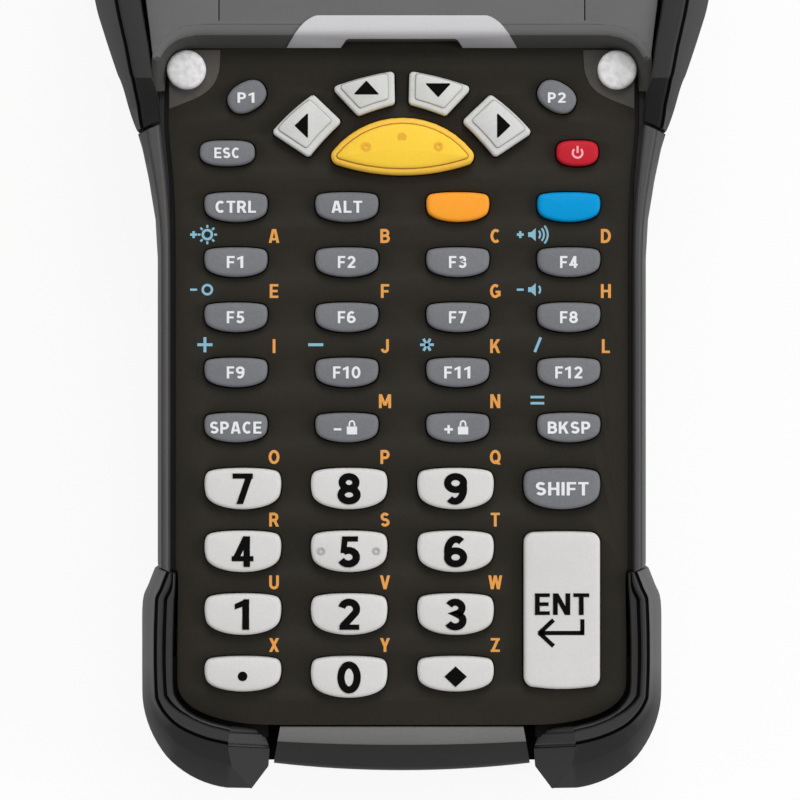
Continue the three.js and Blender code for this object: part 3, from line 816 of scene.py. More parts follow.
def symbol(name, loops, body, material, low, high):
    obj = join(name, [plate(f"{name}_{i}", group, low, high, material) for i, group in enumerate(loops)])
    return finish_piece(obj, body)


# Arrow keys: a raised face that reaches the outer edge, above a lower rim; the face's sloping side is a
# darker silver, as painted shade.
SIDE_ARROW = [(13.6, -23), (19.1, -19.35), (12.95, -13.75), (8.75, -17.75)]
INNER_ARROW = [(1.0, -15.2), (6.4, -16.95), (10.35, -12.75), (1.1, -10.35)]
BOWS = {"inner": (-0.08, 0.0, 0.16, 0.0), "side": (0.0, 0.2, 0.0, -0.12)}
ARROWS = {
    "up": (INNER_ARROW, "inner", -1, [(-1.9, -1.0), (1.9, -1.0), (0, 1.05)], (-5.15, -12.9)),
    "down": (INNER_ARROW, "inner", 1, [(-1.9, 1.0), (0, -1.05), (1.9, 1.0)], (5.29, -13.26)),
    "left": (SIDE_ARROW, "side", -1, [(0.98, -1.9), (0.98, 1.9), (-1.0, 0)], (-14.62, -18.43)),
    "right": (SIDE_ARROW, "side", 1, [(-0.98, 1.9), (-0.98, -1.9), (1.0, 0)], (14.84, -18.43)),
}
ARROW_RING_CENTRE = Vector((0, -29.8))
FACE_SHARE = 0.76
FACE_SHIFT = 0.4
FACE_BOW = 0.8
FACE_RISE = 0.3
for name, (corners, kind, side, triangle, place) in ARROWS.items():
    quad = [(side * x, y) for x, y in corners]
    bows = BOWS[kind]
    if side < 0:
        quad = quad[::-1]
        bows = (bows[2], bows[1], bows[0], bows[3])
    outline = rounded(quad, 0.6, 6, bows)
    body = "key_arrow_" + name
    make_key("arrow_" + name, outline, SILVER_KEY, 0.0, 0.45)
    top = key_centre(body)[2]
    centre = Vector((sum(x for x, _ in quad) / 4, sum(y for _, y in quad) / 4))
    outwards = (centre - ARROW_RING_CENTRE).normalized()
    face = [tuple(centre + (Vector(p) - centre) * FACE_SHARE + outwards * FACE_SHIFT) for p in quad]
    face = rounded(face, 0.4, 6, [bow * FACE_BOW for bow in bows])
    step = loft(body + "_face", [
        [(x, y, top - 0.2) for x, y in offset(face, 0.14)],
        [(x, y, top + 0.02) for x, y in offset(face, 0.14)],
        [(x, y, top + 0.22) for x, y in face],
        [(x, y, top + FACE_RISE) for x, y in offset(face, -0.15)],
    ], [SILVER_KEY, ARROW_STEP_SHADE], 30, slots=[0, 1, 0, 0])
    finish_piece(step, body)
    symbol(body + "_mark", [[moved(rounded(triangle, 0.1, 2), *place)]], body, BLACK_INK, top,
           top + FACE_RISE + TEXT_PROUD)

# The scan key: a lens-shaped cap with blunt tips, a fine dark line of painted shade in the groove inside its
# rim, a rim in a duller yellow, also painted shade, and three small raised marks.
TIP_RADIUS = 1.25
SCAN_CROWN = 0.42


def lens(half_width, rise, drop, steps=14):
    """Two arcs whose meeting points are rounded to the tip radius."""
    inner_half = half_width - TIP_RADIUS
    points = []
    for height, sign, first, last in ((rise - TIP_RADIUS, 1, 1, -1), (drop - TIP_RADIUS, -1, -1, 1)):
        radius = (inner_half ** 2 + height ** 2) / (2 * height)
        half = math.asin(inner_half / radius)
        outer = radius + TIP_RADIUS
        for i in range(steps + 1):
            angle = half * (first + (last - first) * i / steps)
            points.append((outer * math.sin(angle), sign * (height - radius + outer * math.cos(angle))))
        start = math.degrees(half)
        tip = (-inner_half, 0) if sign > 0 else (inner_half, 0)
        a0 = 90 + start if sign > 0 else -90 + start
        other = drop - TIP_RADIUS if sign > 0 else rise - TIP_RADIUS
        other_radius = (inner_half ** 2 + other ** 2) / (2 * other)
        other_half = math.degrees(math.asin(inner_half / other_radius))
        a1 = 270 - other_half if sign > 0 else 90 - other_half
        points += arc(*tip, TIP_RADIUS, TIP_RADIUS, a0, a1, 6)[1:-1]
    return points


_, _, scan_top = key_centre("key_scan")
SCAN_X = 0.1
SCAN_Y = -22.85
SCAN_CREST = SCAN_Y + 1.2
SCAN_RIM = 1.05
scan_outline = moved(lens(10.4, 5.6, 2.7), SCAN_X, SCAN_Y)
scan_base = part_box("key_scan")[0].z / MM
scan_rings = [(0, scan_base, 1), (0, scan_top - 1.3, 1), (0.12, scan_top - 1.0, 1), (0.4, scan_top - 0.8, 1),
              (0.74, scan_top - 0.74, 1), (0.84, scan_top - 0.78, 2), (0.92, scan_top - 0.55, 2),
              (SCAN_RIM, scan_top - SCAN_CROWN, 0)]
scan_loops = [[(x, y, z) for x, y in offset(scan_outline, -inset)] for inset, z, _ in scan_rings]
inner = offset(scan_outline, -SCAN_RIM)
for share in CROWN_RINGS:
    scan_loops.append([(SCAN_X + (x - SCAN_X) * share, SCAN_CREST + (y - SCAN_CREST) * share,
                        scan_top - SCAN_CROWN * share ** 2) for x, y in inner])
scan_key = loft("key_scan_cap", scan_loops, [YELLOW_KEY, YELLOW_RIM_SHADE, YELLOW_GROOVE_SHADE], 40,
                tip=(SCAN_X, SCAN_CREST, scan_top), slots=[kind for _, _, kind in scan_rings[1:]] + [0] * 5)
finish_piece(scan_key, "key_scan", ["key_scan"])
keys.append(scan_outline)
SCAN_DOTS = {"left": (-5.12, -21.55), "middle": (0.05, -20.15), "right": (5.35, -21.5)}
for name, (x, y) in SCAN_DOTS.items():
    rise = SCAN_CROWN * (math.hypot(x / 9.4, (y - SCAN_CREST) / 3.2)) ** 2
    loops = [moved(circle(0.66, 20), x, y)]
    if name != "middle":
        loops.append(moved(circle(0.26, 16), x, y))
    symbol("key_scan_dot_" + name, [loops], "key_scan", DOT, scan_top - 0.7, scan_top + 0.03 - rise * 0.8)

# ---- Keypad panel -------------------------------------------------------------

panel_half = [(7.9, -6.13), (8.15, -6.2), (8.95, -6.98), *corner((31.1, -9.98), 3, 3, 90, 0, 8),
              (34.1, -18.5), (33.85, -21.5), (33.6, -23.9), (33.4, -26.2), (33.2, -30), (33.1, -34),
              (33.08, -38), (33.08, -82.7), (32.75, -83.6), (32.7, -85.5),
              *smooth_path([(32.75, -90), (32.8, -99), (32.5, -101), (31.9, -102.05), (30.8, -103.1),
                            (29.4, -103.9), (27.5, -104.65), (24.8, -105.3), (20.5, -105.75),
                            (10, -105.8)], 3)]
panel_outline = anticlockwise(panel_half + mirrored(panel_half))
KEY_HOLE = 0.17
holes = [offset(outline, KEY_HOLE) for outline in keys]
panel = plate("keypad_panel", [panel_outline] + holes, BEZEL_BOTTOM, BEZEL_TOP, PANEL, 0.14, 1)
finish_piece(panel, HOUSING, ["keypad_bezel"])

LAND_RISE = 0.12
land = smooth_path([(26.5, -7.25), (26.55, -9), (26.75, -10.6), (27.5, -12.3), (28.7, -13.5),
                    (30.3, -14.4), (32.3, -15.2), (33.95, -15.85)], 3)
land += [(33.95, -10.2), *reversed(corner((30.95, -10.1), 3, 2.85, 90, 0, 8))]
for side, name in SIDES:
    obj = plate("screw_land_" + name, [anticlockwise(sided(side, land))], BEZEL_TOP - 0.5,
                BEZEL_TOP + LAND_RISE, LAND, 0.06, 1)
    finish_piece(obj, HOUSING)

# ---- Printing on the panel ------------------------------------------------------

PRINT_LOW = BEZEL_TOP - 0.1
PRINT_HIGH = BEZEL_TOP + 0.02
LETTER = 2.02
COLUMNS = (-18.65, -2.45, 13.65, 29.8)
SMALL_RISE = 3.85
NUMBER_RISE = 4.6
LETTER_ROWS = [("ABCD", "f1", SMALL_RISE), ("EFGH", "f5", SMALL_RISE), ("IJKL", "f9", SMALL_RISE),
               (" MN", "space", SMALL_RISE), ("OPQ", "7", NUMBER_RISE), ("RST", "4", NUMBER_RISE),
               ("UVW", "1", NUMBER_RISE), ("XYZ", "0", NUMBER_RISE)]
letters = []
for text, row_key, rise in LETTER_ROWS:
    row_y = key_centre("key_" + row_key)[1] + rise
    for x, letter in zip(COLUMNS, text):
        if letter != " ":
            letters.append(lettering("letter_" + letter, letter, LETTER, x, row_y, PRINT_LOW, PRINT_HIGH,
                                     ORANGE_INK, GLYPHS[letter][0] * LETTER))
finish_piece(join("orange_letters", letters), HOUSING)

column_small = [key_centre("key_" + n)[0] for n in ("ctrl", "alt", "orange", "blue")]


def bar_shape(width, height, x, y, degrees=0):
    return moved(turned(rectangle(width, height), degrees), x, y)


def ring_loops(outer, inner_radius, x, y):
    return [moved(circle(outer, 24), x, y), moved(circle(inner_radius, 24), x, y)]


def plus_loop(size, thickness, x, y):
    a = size / 2
    b = thickness / 2
    return moved([(-a, -b), (-b, -b), (-b, -a), (b, -a), (b, -b), (a, -b), (a, b), (b, b), (b, a), (-b, a),
                  (-b, b), (-a, b)], x, y)


CONE = [(-0.75, -0.35), (-0.3, -0.35), (0.35, -0.95), (0.35, 0.95), (-0.3, 0.35), (-0.75, 0.35)]


WAVE_STEP = 12


def wave_loop(radius, thickness, x, y, spread=42):
    there = range(-spread, spread + 1, WAVE_STEP)
    back = range(spread, -spread - 1, -WAVE_STEP)
    points = [(r * math.cos(math.radians(a)), r * math.sin(math.radians(a)))
              for r, angles in ((radius, there), (radius - thickness, back)) for a in angles]
    return moved(points, x, y)


def row_mark(node, rise=4.05):
    return key_centre("key_" + node)[1] + rise


marks = []
sun_x = column_small[0] - 4.2
sun_y = row_mark("f1")
marks.append([plus_loop(1.0, 0.36, sun_x - 2.0, sun_y)])
marks.append(ring_loops(0.85, 0.48, sun_x, sun_y))
marks += [[bar_shape(0.42, 0.3, sun_x + 1.2 * math.cos(math.radians(a)),
                     sun_y + 1.2 * math.sin(math.radians(a)), a)]
          for a in range(0, 360, 45)]
ring_y = row_mark("f5")
marks.append([bar_shape(1.0, 0.32, sun_x - 2.0, ring_y)])
marks.append(ring_loops(0.85, 0.5, sun_x, ring_y))
plain_x = [x - 4.55 for x in column_small]
marks.append([plus_loop(2.2, 0.42, plain_x[0], row_mark("f9"))])
marks.append([bar_shape(2.2, 0.42, plain_x[1], row_mark("f9"))])
marks += [[bar_shape(2.0, 0.38, plain_x[2] + 0.05, row_mark("f9"), a)] for a in (0.5, 60.5, 120.5)]
marks.append([bar_shape(2.3, 0.4, plain_x[3] + 0.05, row_mark("f9"), 68)])
marks += [[bar_shape(2.0, 0.36, plain_x[3], row_mark("space") - 0.05 + dy)] for dy in (-0.45, 0.45)]
speaker_x = column_small[3] - 5.15
loud_y = row_mark("f4")
marks.append([plus_loop(1.0, 0.36, speaker_x - 1.9, loud_y)])
marks.append([moved(CONE, speaker_x, loud_y)])
marks += [[wave_loop(r, 0.28, speaker_x + 0.2, loud_y)] for r in (0.95, 1.5, 2.05)]
soft_y = row_mark("f8")
marks.append([bar_shape(1.0, 0.32, speaker_x - 1.9, soft_y)])
marks.append([moved(CONE, speaker_x, soft_y)])
marks.append([wave_loop(0.95, 0.28, speaker_x + 0.2, soft_y)])
symbol("blue_symbols", marks, HOUSING, BLUE_INK, PRINT_LOW, PRINT_HIGH)

# ---- Symbols on keys -----------------------------------------------------------


def lock_marks(x, y):
    """An open padlock: a filled body and a shackle."""
    body_loop = bar_shape(1.5, 1.15, x, y - 0.42)
    shackle = [(-0.5, 0), (-0.5, 0.45), (-0.35, 0.85), (0, 1.0), (0.35, 0.85), (0.5, 0.45), (0.5, 0),
               (0.26, 0), (0.26, 0.42), (0.18, 0.66), (0, 0.76), (-0.18, 0.66), (-0.26, 0.42), (-0.26, 0)]
    return [[body_loop], [moved(shackle, x, y + 0.1)]]


def key_mark(name, shapes, material, crown=SMALL_CROWN, suffix="_mark", proud=TEXT_PROUD):
    """A symbol on a key, from shapes placed around the key's centre."""
    body = "key_" + name
    top = key_centre(body)[2]
    placed = [[at_key(name, loop) for loop in loops] for loops in shapes]
    symbol(body + suffix, placed, body, material, top - LEGEND_DEPTH, top + crown + proud)


SIGN_X = -1.35
SIGN_Y = -0.25
LOCK_X = 0.75
for name, sign in (("lock_minus", bar_shape(1.1, 0.32, SIGN_X, SIGN_Y)),
                   ("lock_plus", plus_loop(1.25, 0.36, SIGN_X, SIGN_Y))):
    key_mark(name, [[sign]] + lock_marks(LOCK_X, 0), WHITE_INK)

power_arc = turned(wave_loop(0.86, 0.3, 0, 0, 138), -90)
key_mark("power", [[power_arc], [bar_shape(0.3, 1.0, 0, 0.5)]], PALE_RED)
key_mark("point", [[moved(circle(0.7, 24), 0, -0.3)]], BLACK_INK, NUMBER_CROWN)
key_mark("diamond", [[moved([(-1.65, 0), (0, -1.5), (1.65, 0), (0, 1.5)], 0, -0.35)]], BLACK_INK,
         NUMBER_CROWN)
ARROW_Y = -3.25
ARROW_STROKE = 0.62
HEAD_TURN = 43
return_arrow = [[bar_shape(6.0, ARROW_STROKE, 0.05, ARROW_Y)],
                [bar_shape(ARROW_STROKE, 2.3, 2.95, ARROW_Y + 0.85)]]
return_arrow += [[bar_shape(2.9, ARROW_STROKE, -2.3, ARROW_Y + side * 0.92, side * HEAD_TURN)]
                 for side in (1, -1)]
key_mark("enter", return_arrow, BLACK_INK, ENTER_CROWN, "_arrow")
NUB_X = 4.0
for side, name in SIDES:
    nub = [moved(circle(radius, count), side * NUB_X, 0.1) for radius, count in ((0.55, 20), (0.3, 16))]
    key_mark("5", [nub], NUB, NUMBER_CROWN, "_nub_" + name, 0.07)

# ---- Screws ----------------------------------------------------------------------

SHANK = 1.3
HEAD = 2.85
HEAD_PROFILE = [(HEAD, -0.45), (2.72, -0.2), (2.45, -0.05), (2.2, 0), (1.5, 0.05), (0.8, 0.07)]
for side, name in SIDES:
    low, high = box_mm("keypad_screw_" + name)
    cx = (low.x + high.x) / 2
    cy = (low.y + high.y) / 2
    under_head = BEZEL_TOP + 0.3
    profile = [(SHANK, low.z), (SHANK, under_head), (HEAD, under_head)]
    profile += [(radius, high.z + dz) for radius, dz in HEAD_PROFILE]
    rings = [[(cx + r * x, cy + r * y, z) for x, y in circle(1, 48)] for r, z in profile]
    screw = loft("keypad_screw_head_" + name, rings, STEEL, 40, tip=(cx, cy, high.z + 0.08))
    finish_piece(screw, HOUSING, ["keypad_screw_" + name])

# ---- Bumpers: bands with a faceted section ---------------------------------------


def table(rows, at):
    """Reads a value from (place, value) rows in rising order, in straight lines between them."""
    if at <= rows[0][0]:
        return rows[0][1]
    for (x0, y0), (x1, y1) in zip(rows, rows[1:]):
        if at <= x1:
            return y0 + (y1 - y0) * (at - x0) / (x1 - x0)
    return rows[-1][1]


def band(name, outers, inners, section, materials, sharp_angle=24, bulges=None, columns=None):
    """A bar that follows two paths. section(i, width, outer) gives (distance from the outer path, height).

    bulges bends each cross-section along the bar, by its amount in the middle of the width.
    """
    rings = []
    for i, (o, n) in enumerate(zip(outers, inners)):
        across = Vector(n) - Vector(o)
        width = across.length
        direction = across / width
        bulge = bulges[i] if bulges else 0
        sideways = Vector((-direction.y, direction.x)) * bulge
        points = []
        for u, z in section(i, width, o):
            bend = math.sin(math.pi * min(max(u / width, 0), 1))
            points.append((o[0] + direction.x * u + sideways.x * bend,
                           o[1] + direction.y * u + sideways.y * bend, z))
        rings.append(points)
    return loft(name, rings, materials, sharp_angle, columns=columns)


def cut_out(obj, cutter):
    """Cuts the cutter's shape out of a piece, and removes the cutter."""
    bpy.context.view_layer.update()
    step = obj.modifiers.new("cut", "BOOLEAN")
    step.operation = "DIFFERENCE"
    step.solver = "EXACT"
    step.object = cutter
    result = bpy.data.meshes.new_from_object(obj.evaluated_get(bpy.context.evaluated_depsgraph_get()))
    obj.modifiers.clear()
    obj.data = result
    bpy.data.objects.remove(cutter)


def slot_cutter(half_width, y0, y1, z0, z1, radius):
    """A rounded slot that runs along Y."""
    cutter = plate("slot_cutter", [rounded_box(2 * half_width, z1 - z0, radius)], -(y1 - y0) / 2,
                   (y1 - y0) / 2, RUBBER)
    cutter.rotation_euler = (math.pi / 2, 0, 0)
    cutter.location = (0, (y0 + y1) / 2 * MM, (z0 + z1) / 2 * MM)
    return cutter


# The head bumper from the tip of one shoulder, round the head, to the other.
leg_outer = [(38.65, -19.05), (39.1, -18.0), (39.8, -15.9), (40.45, -13.4), (41.0, -11.75), (41.4, -10.9),
             (42.7, -7.2), (43.65, -4.3), (44.6, -1.2), (45.25, 2.5), (45.45, 6), (45.45, 14)]
leg_inner = [(35.2, -17.55), (35.25, -16.6), (35.4, -15.0), (35.7, -13.3), (36.1, -11.75), (36.25, -10.9),
             (36.7, -7.2), (37.2, -4.3), (37.7, -1.2), (38.15, 2.5), (38.4, 6), (38.4, 14)]
LEG_STEPS = 3
FACET_ROWS = [(-19.05, 0.75), (-15.9, 1.45), (-13.4, 1.65), (-10.9, 2.05), (-7.2, 2.65), (-1.2, 3.25),
              (6, 3.4)]
SLOPE_START = -11.75
SLOPE_FALL = 0.62
FACET_TILT = 2.1
head_outer = (smooth_path(leg_outer, LEG_STEPS) + [(45.45, 60), (45.45, 90)]
              + corner((31.5, 101.5), 13.95, 13.95, 0, 90, 14))
head_inner = (smooth_path(leg_inner, LEG_STEPS) + [(38.4, 60), (38.4, 90)]
              + corner((30.5, 101.5), 7.9, 7.9, 0, 90, 14))
head_outer += mirrored(head_outer)
head_inner += mirrored(head_inner)


def head_section(i, width, outer):
    top = BUMPER_TOP - 0.2 - SLOPE_FALL * max(SLOPE_START - outer[1], 0)
    facet = min(table(FACET_ROWS, outer[1]), width * 0.5)
    return [
        (width * 0.55, 2.5), (2.6, 2.5), (1.2, 3.4), (0.35, 5.2), (0, 8), (0, top - 0.5 - FACET_TILT * facet),
        (0.08, top - 0.35 - FACET_TILT * facet), (facet - 0.12, top - 0.42), (facet, top - 0.3),
        (facet + 0.06, top - 0.8), (facet + 0.3, top - 0.8), (facet + 0.42, top - 0.2), (facet + 0.75, top),
        (width - 0.55, top), (width - 0.12, top - 0.18), (width, top - 0.7), (width, 24), (width, 5),
    ]


# The crease columns (3) take the near-black painted shade.
HEAD_COLUMNS = [0, 0, 0, 0, 1, 1, 1, 3, 3, 3, 3, 2, 2, 2, 2, 0, 0, 0]
head_bumper = band("head_bumper_band", head_outer, head_inner, head_section,
                   [RUBBER, LEG_SIDE, LEG_TOP_SHADED, CREASE_SHADE], columns=HEAD_COLUMNS)
scan_low, scan_high = box_mm("scan_window")
cut_out(head_bumper, slot_cutter(23, 104, 120, scan_low.z - 0.3, scan_high.z + 0.3, 1.8))
finish_piece(head_bumper, HOUSING, ["head_bumper"])

# Corner bumpers: an outer facet painted lighter as a highlight, a crease, a ridge, a valley and a thin inner
# lip; the crease, the valley and the lip's inner wall are painted near-black as shade.
# The last two cross-sections make the sloping face beside the end bar.
corner_outer = (smooth_path([(36.2, -82.9), (37.1, -85.2), (38.0, -87.8), (38.08, -94), (38.08, -101)], 4)
                + corner((24, -101), 14.08, 14.48, 0, -83, 18)[1:] + [(22.35, -115.45), (22.1, -115.45)])
corner_inner = (smooth_path([(32.95, -83.7), (33.05, -86.2), (33.2, -88.4), (33.35, -94), (33.35, -99.5)], 4)
                + smooth_path([(33.2, -101.1), (32.6, -102.2), (31.4, -103.5), (29.9, -104.4), (27.9, -105.2),
                               (26.4, -105.6), (24.9, -105.95)], 3) + [(20.4, -106.5), (18.3, -106.4)])
CORNER_WIDTH = 4.75
corner_bulges = [0] * (len(corner_outer) - 2) + [-1.5, 1.9]
END_FALL = 4.2


def corner_section(i, width, outer):
    grow = max(width - CORNER_WIDTH, 0)
    mix = min(grow / 3, 1)
    facet = 1.95 + grow * 1.02
    high = CORNER_TOP
    ridge = facet + 0.42
    ridge_end = min(ridge + 0.85 + 1.1 * mix, width - 0.6)
    valley_end = min(ridge_end + 0.5 - 0.3 * mix, width - 0.35)
    bend = high - 0.9 - facet * 0.42 * (2.2 - 1.65 * mix)
    edge = bend - facet * 0.58 * (2.2 - 1.05 * mix)
    valley = high - 1.6 + 1.1 * mix
    lip = high - 1.1 + 0.6 * mix
    points = [
        (width * 0.6, 1), (1.6, 1), (0.6, 2.2), (0, 5), (0, edge - 0.3), (0.08, edge),
        (facet * 0.57, bend - 0.05), (facet * 0.6, bend + 0.05), (facet - 0.12, high - 1.0),
        (facet, high - 0.95), (facet + 0.08, high - 1.4), (ridge - 0.08, high - 1.4),
        (ridge + 0.12, high - 0.25), (ridge + 0.3, high),
        (ridge_end - 0.2, high - 0.05), (ridge_end, high - 0.4), (ridge_end + 0.05, valley),
        (valley_end - 0.05, valley), (valley_end, lip), (width - 0.2, lip - 0.1),
        (width - 0.05, lip - 0.5), (width - 0.05, 24), (width - 0.05, 4),
    ]
    if i == len(corner_outer) - 1:
        points = [(u, z if z < 26 else max(z - END_FALL * min(u / 2.5, 1), 26.5)) for u, z in points]
    return points


CORNER_COLUMNS = [0, 0, 0, 0, 1, 1, 1, 1, 1, 3, 3, 3, 2, 2, 2, 3, 3, 3, 2, 2, 3, 0, 0]
for side, name in SIDES:
    obj = band("corner_bumper_band_" + name, sided(side, corner_outer), sided(side, corner_inner),
               corner_section, [CORNER_RUBBER, CORNER_SIDE_LIT_SHADED, CORNER_RIDGE, CREASE_SHADE],
               bulges=[side * b for b in corner_bulges], columns=CORNER_COLUMNS)
    # The face at the very end, beside the end bar, keeps the plain rubber.
    end_ring = len(corner_outer) - 2
    for polygon in obj.data.polygons:
        if end_ring * len(CORNER_COLUMNS) <= polygon.index:
            polygon.material_index = 0
    finish_piece(obj, HOUSING, ["corner_bumper_" + name])

# ---- Front housing ---------------------------------------------------------------------

# The frame round the display, in one piece, with a shallow seam at each side of the keypad.
FRAME_LOW = 36.9
notch = [(17, -3.95), (28.5, -3.95), (30.6, -4.1), (32.3, -4.6), (33.8, -5.45), (35.0, -6.6),
         (35.9, -8.0), (36.15, -8.75)]
frame_side = [(36.15, -8.2), (36.3, -7.0), (36.6, -4.3), (37.0, -1.2), (37.4, 2.5), (37.65, 6), (37.75, 14),
              (37.75, 90)] + corner((30.5, 101.5), 7.25, 7.25, 0, 90, 12)
frame_outline = anticlockwise(notch + frame_side + mirrored(notch + frame_side))
opening_x = glass_high.x + 0.35
opening = [(x, y + (glass_low.y + glass_high.y) / 2)
           for x, y in rounded_box(2 * opening_x, glass_high.y - glass_low.y + 0.7, 1.2, 4)]
SEAM_X = 26.5
seams = [moved(rounded_box(0.14, 10.6, 0.05, 2), side * SEAM_X, 1.9) for side in (-1, 1)]
speaker_slots = [moved(rounded_box(9, 0.7, 0.34, 3), 0, y) for y in (96.6, 98.2, 99.8)]
microphone = [moved(circle(0.45, 16), 22, 4.2)]
display_frame = plate("display_frame", [frame_outline, opening] + seams + speaker_slots + microphone,
                      FRAME_LOW, HEAD_TOP, FRAME_GREY, 0.12, 2)
finish_piece(display_frame, HOUSING)

# Two status lamps beside the speaker slots.
LAMP_SIZE = (4.2, 1.3)
for side, name in SIDES:
    lamp = plate("status_lamp_" + name, [moved(rounded_box(*LAMP_SIZE, 0.62), side * 12, 98.2)],
                 HEAD_TOP - 0.3, HEAD_TOP + 0.12, LAMP, 0.1, 2)
    finish_piece(lamp, HOUSING)

# The step from the display frame down to the keypad, with a softly rounded upper edge; below the rounding its
# slope takes a darker grey as painted shade.
step_top = [(36.0, -13.4), (36.15, -11.6), (36.25, -10.2), (36.2, -8.9), (35.9, -8.0), (35.0, -6.6),
            (33.8, -5.45), (32.3, -4.6), (30.6, -4.1), (28.5, -3.95), (17, -3.95), (8, -3.95)]
step_foot = [(34.62, -13.2), (34.55, -11.8), (34.4, -10.6), (34.15, -9.6), (33.8, -8.8), (33.1, -7.95),
             (32.3, -7.45), (31.2, -7.1), (30.0, -6.98), (28.5, -6.98), (17, -6.98), (8, -6.98)]
step_top = smooth_path(step_top, 3)
step_foot = smooth_path(step_foot, 3)
step_top += mirrored(step_top)
step_foot += mirrored(step_foot)
STEP_COLUMNS = [0, 0, 0, 1, 1, 1, 1, 1, 1]


def step_section(i, width, outer):
    top = HEAD_TOP - 0.02 - max(-8.9 - outer[1], 0) * 0.75
    curve = min(1.4, width * 0.48)
    return [(0, top), (0.45 * curve, top - 0.05), (0.8 * curve, top - 0.22), (1.05 * curve, top - 0.55),
            (1.25 * curve, top - 1.0), (width, BEZEL_TOP + 0.25), (width, BEZEL_TOP - 1.2),
            (width * 0.5, BEZEL_TOP - 1.2), (0, BEZEL_TOP - 1.2)]


step = band("keypad_step", step_top, step_foot, step_section, [FRAME_GREY, STEP_SHADE], 30, columns=STEP_COLUMNS)
# Beside the shoulders the whole step takes the darker grey, as painted shadow of the bumper legs.
SHOULDER = -8.6
for polygon in step.data.polygons:
    if polygon.center.y < SHOULDER * MM:
        polygon.material_index = 1
tab = [(7.7, -5.9), (8.15, -6.05), (9.1, -7.2)]
tab_outline = anticlockwise(tab + mirrored(tab))
cut_out(step, plate("tab_cutter", [tab_outline], BEZEL_TOP - 0.5, HEAD_TOP + 1, STEP_SHADE))
finish_piece(step, HOUSING)

# Bare nameplate, which follows the frame and the step; where it bends down the step it is a slightly darker
# silver, as painted shade.
plate_rows = [(-2.63, 12.2, 0), (-2.68, 12.5, 0.02), (-2.85, 12.95, 0.04), (-3.2, 13.55, 0.04),
              (-3.7, 14.2, 0.04), (-4.3, 14.75, 0.04), (-4.75, 15.1, 0.0), (-5.05, 15.35, -0.12),
              (-5.4, 15.6, -0.42), (-5.7, 15.8, -0.9), (-6.98, 16.8, -4.4)]
PLATE_THICKNESS = 0.16
plate_rings = [[(-w, y, HEAD_TOP + PLATE_THICKNESS + z), (w, y, HEAD_TOP + PLATE_THICKNESS + z),
                (w, y, HEAD_TOP - 0.1 + z), (-w, y, HEAD_TOP - 0.1 + z)] for y, w, z in plate_rows]
nameplate = loft("nameplate", plate_rings, [PLATE, PLATE_SLOPE_SHADE], 50, slots=[0] * 8 + [1, 1])
cut_out(nameplate, plate("tab_cutter", [tab_outline], BEZEL_TOP - 0.5, HEAD_TOP + 1, STEP_SHADE))
finish_piece(nameplate, HOUSING)

# The rails on both sides of the keypad: an outer facet, a fine crease and a rounded top.
rail_outer = (smooth_path([(38.35, -19.5), (37.93, -21.55), (37.4, -23.9), (36.95, -26.2), (36.4, -29),
                           (35.98, -32.06), (35.75, -35), (35.66, -38)], 3)
              + [(35.66, -60), (35.66, -81.9), (35.6, -82.5)])
rail_inner = (smooth_path([(35.3, -18.2), (35.02, -21.0), (34.72, -23.6), (34.45, -26.2), (34.2, -29),
                           (34.0, -32.06), (33.9, -35), (33.86, -38)], 3)
              + [(33.86, -60), (33.86, -82.6), (33.84, -83.4)])
RAIL_TOP = 35.5
TUB_TOP = 33.2


def rail_section(i, width, outer):
    crease = width * 0.38
    return [(0.03, TUB_TOP - 0.6), (0.0, TUB_TOP + 0.3), (0.1, TUB_TOP + 0.7),
            (crease - 0.08, RAIL_TOP - 0.35), (crease, RAIL_TOP - 0.4), (crease + 0.1, RAIL_TOP - 0.38),
            (crease + 0.22, RAIL_TOP - 0.08),
            (crease + 0.45, RAIL_TOP), (width - 0.5, RAIL_TOP - 0.02), (width - 0.2, RAIL_TOP - 0.2),
            (width - 0.03, RAIL_TOP - 0.65), (width, RAIL_TOP - 1.3), (width, TUB_TOP - 0.6)]


for side, name in SIDES:
    obj = band("rail_" + name, sided(side, rail_outer), sided(side, rail_inner), rail_section, RAIL, 20)
    finish_piece(obj, HOUSING)

# Below the rails and the frame: the shell's walls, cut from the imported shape.
tub_mesh = packed_mesh("front_housing", "front_shell_walls", TUB, TUB_TOP)
shade(tub_mesh, 30)
tub = add_object("front_shell_walls", tub_mesh)
finish_piece(tub, HOUSING, ["front_housing"])
# Under the frame a near-black block: seen through the slots, seams and the gap round the glass, its colour is
# painted shade.
head_block_half = ([(34, -4.2), (36, -4.2), (36.6, -1.2), (37.3, 6), (37.4, 90)]
                   + corner((30.5, 101.5), 6.9, 6.9, 0, 90, 8))
head_block = plate("head_block", [anticlockwise(head_block_half + mirrored(head_block_half)), opening],
                   TUB_TOP + 0.02, FRAME_LOW, BLACK_AND_GAP_SHADE)
finish_piece(head_block, HOUSING)

# ---- Rear housing, end bar and battery ----------------------------------------------------

rear = refined("rear_housing", "rear_shell", SHELL, 0.5)
